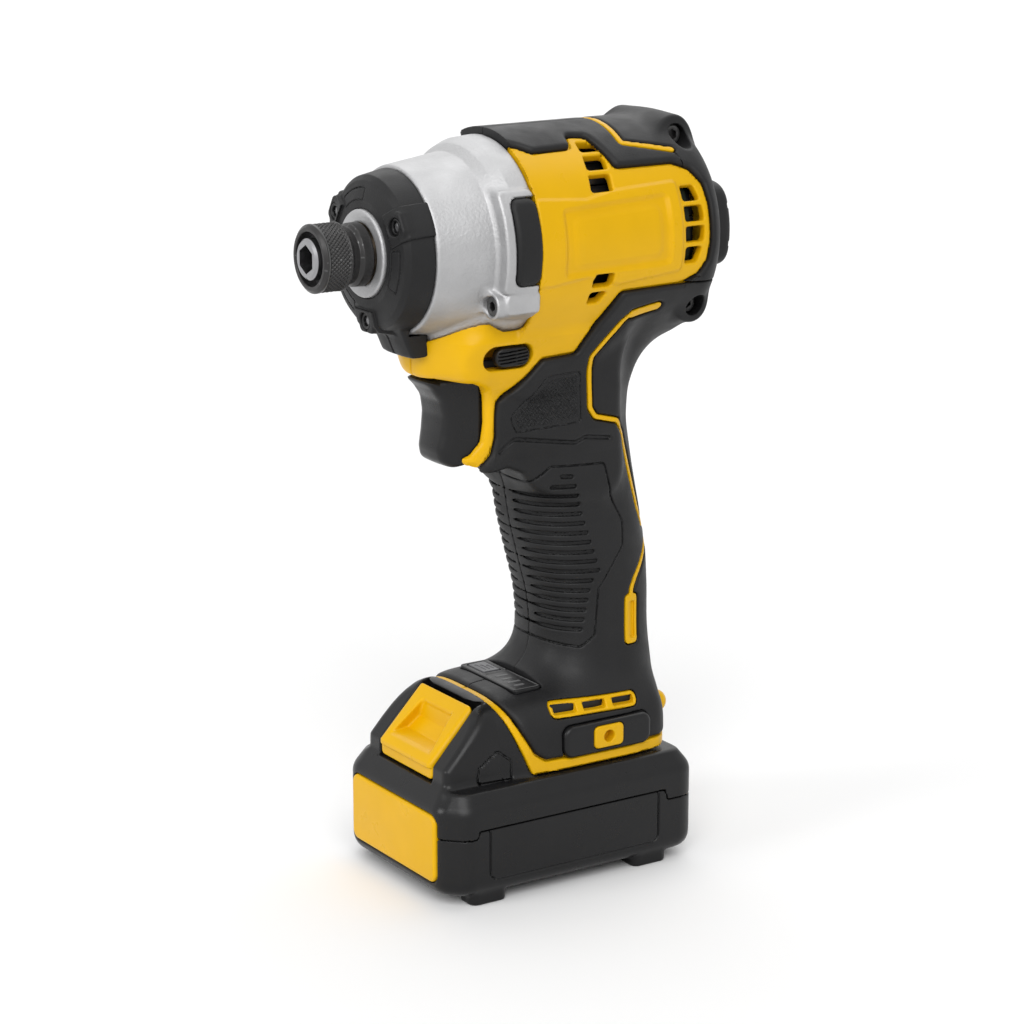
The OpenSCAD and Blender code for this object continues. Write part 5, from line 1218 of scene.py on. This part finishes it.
SCREW_SIDES = 24
SCREW_PROFILE = [("hex", 0.02, 1.1), ("hex", 1.5, 1.1), ("hex", 1.5, 2.3), ("round", 1.9, 2.4),
                 ("round", 2.35, 2.4), ("round", 2.7, 2.05), ("round", 2.7, 0), ("round", 1.45, 0)]


def screw(st, lv, seat, tip, side):
    """A socket screw along y, as points (s, y, h) and faces."""
    angle = np.arange(SCREW_SIDES) * 2 * math.pi / SCREW_SIDES
    flat = math.cos(math.pi / 6) / np.cos((angle + math.pi / 6) % (math.pi / 3) - math.pi / 6)
    profile = SCREW_PROFILE + [("round", 1.45, -tip), ("round", 0.02, -tip - 0.8)]
    rings = [(r * (flat if kind == "hex" else 1), side * (seat + out)) for kind, r, out in profile]
    points, faces = [], []
    for pair in zip(rings, rings[1:]):
        first = len(points) * SCREW_SIDES
        for r, y in pair:
            points.append(np.stack([st + r * np.cos(angle), np.full(SCREW_SIDES, y),
                                    lv + r * np.sin(angle)], 1))
        a = first + np.arange(SCREW_SIDES)
        b = first + (np.arange(SCREW_SIDES) + 1) % SCREW_SIDES
        low = np.stack([a, a + SCREW_SIDES, b + SCREW_SIDES, b], 1)
        faces.append(low if side > 0 else low[:, ::-1])
    return np.concatenate(points), np.concatenate(faces)


def screw_set():
    rear = [(st, lv, seat, seat + 9.4, 1) for (st, lv, *_), seat in zip(REAR_BOSSES, REAR_SCREW_SEATS)]
    right = [(st, lv, seat, seat + 7, -1) for st, lv, seat in SHELL_SCREWS]
    points, faces, count = [], [], 0
    for place in rear + right:
        co, quads = screw(*place)
        points.append(co)
        faces.append(quads + count)
        count += len(co)
    add_piece("shell_screws_set", to_frame(np.concatenate(points)), np.concatenate(faces), None, "tool",
              "shell_screws")


screw_set()


# Stage, light and camera
FLOOR_HALF, FLOOR_SHADE, WORLD_STRENGTH = 3, 0.95, 0.32
# Name, direction toward the light, angle in degrees and strength
SUNS = (
    ("key", (0.40, 0.62, 0.66), 45, 1.8), ("top", (-0.35, -0.40, 0.85), 70, 1.2),
    ("left", (0.9, -0.1, 0.4), 25, 0.8),
)
CAMERA_LENS, CAMERA_SENSOR = 106.56, 36
CAMERA_PLACE, CAMERA_LOOK = (0.42151, 0.65634, 0.30406), (-0.5258, -0.8113, -0.2554)


def make_stage():
    mesh = bpy.data.meshes.new("floor")
    corners = [(x * FLOOR_HALF, y * FLOOR_HALF, 0) for x, y in ((-1, -1), (1, -1), (1, 1), (-1, 1))]
    mesh.from_pydata(corners, [], [(0, 1, 2, 3)])
    floor = bpy.data.objects.new("floor", mesh)
    bpy.context.scene.collection.objects.link(floor)
    mat = bpy.data.materials.new("floor_white")
    mat.use_nodes = True
    nodes, links = mat.node_tree.nodes, mat.node_tree.links
    bsdf = nodes["Principled BSDF"]
    bsdf.inputs["Roughness"].default_value = 0.8
    bsdf.inputs["Specular IOR Level"].default_value = 0.1
    bsdf.inputs["Base Color"].default_value = (FLOOR_SHADE, FLOOR_SHADE, FLOOR_SHADE, 1)
    mesh.materials.append(mat)
    world = bpy.data.worlds.new("studio")
    bpy.context.scene.world = world
    world.use_nodes = True
    nodes, links = world.node_tree.nodes, world.node_tree.links
    nodes["Background"].inputs["Color"].default_value = (1, 1, 1, 1)
    nodes["Background"].inputs["Strength"].default_value = WORLD_STRENGTH
    seen = nodes.new("ShaderNodeBackground")
    seen.inputs["Color"].default_value = (1, 1, 1, 1)
    seen.inputs["Strength"].default_value = 1
    path = nodes.new("ShaderNodeLightPath")
    mix = nodes.new("ShaderNodeMixShader")
    ray = path.outputs["Is Camera Ray"]
    for kind in ("Is Glossy Ray", "Is Transmission Ray"):
        either = nodes.new("ShaderNodeMath")
        either.operation = "MAXIMUM"
        links.new(ray, either.inputs[0])
        links.new(path.outputs[kind], either.inputs[1])
        ray = either.outputs["Value"]
    links.new(ray, mix.inputs["Fac"])
    links.new(nodes["Background"].outputs["Background"], mix.inputs[1])
    links.new(seen.outputs["Background"], mix.inputs[2])
    links.new(mix.outputs["Shader"], nodes["World Output"].inputs["Surface"])


def sun_light(name, toward, angle, power):
    data = bpy.data.lights.new(name, "SUN")
    data.angle = math.radians(angle)
    data.energy = power
    lamp = bpy.data.objects.new(name, data)
    lamp.rotation_euler = (-Vector(toward)).to_track_quat("-Z", "Y").to_euler()
    bpy.context.scene.collection.objects.link(lamp)


make_stage()
for sun in SUNS:
    sun_light(*sun)

camera = bpy.data.objects.new("camera", bpy.data.cameras.new("camera"))
camera.data.lens = CAMERA_LENS
camera.data.sensor_width = CAMERA_SENSOR
camera.location = CAMERA_PLACE
camera.rotation_euler = Vector(CAMERA_LOOK).to_track_quat("-Z", "Y").to_euler()
bpy.context.scene.collection.objects.link(camera)
bpy.context.scene.camera = camera
bpy.context.scene.view_settings.view_transform = "Standard"
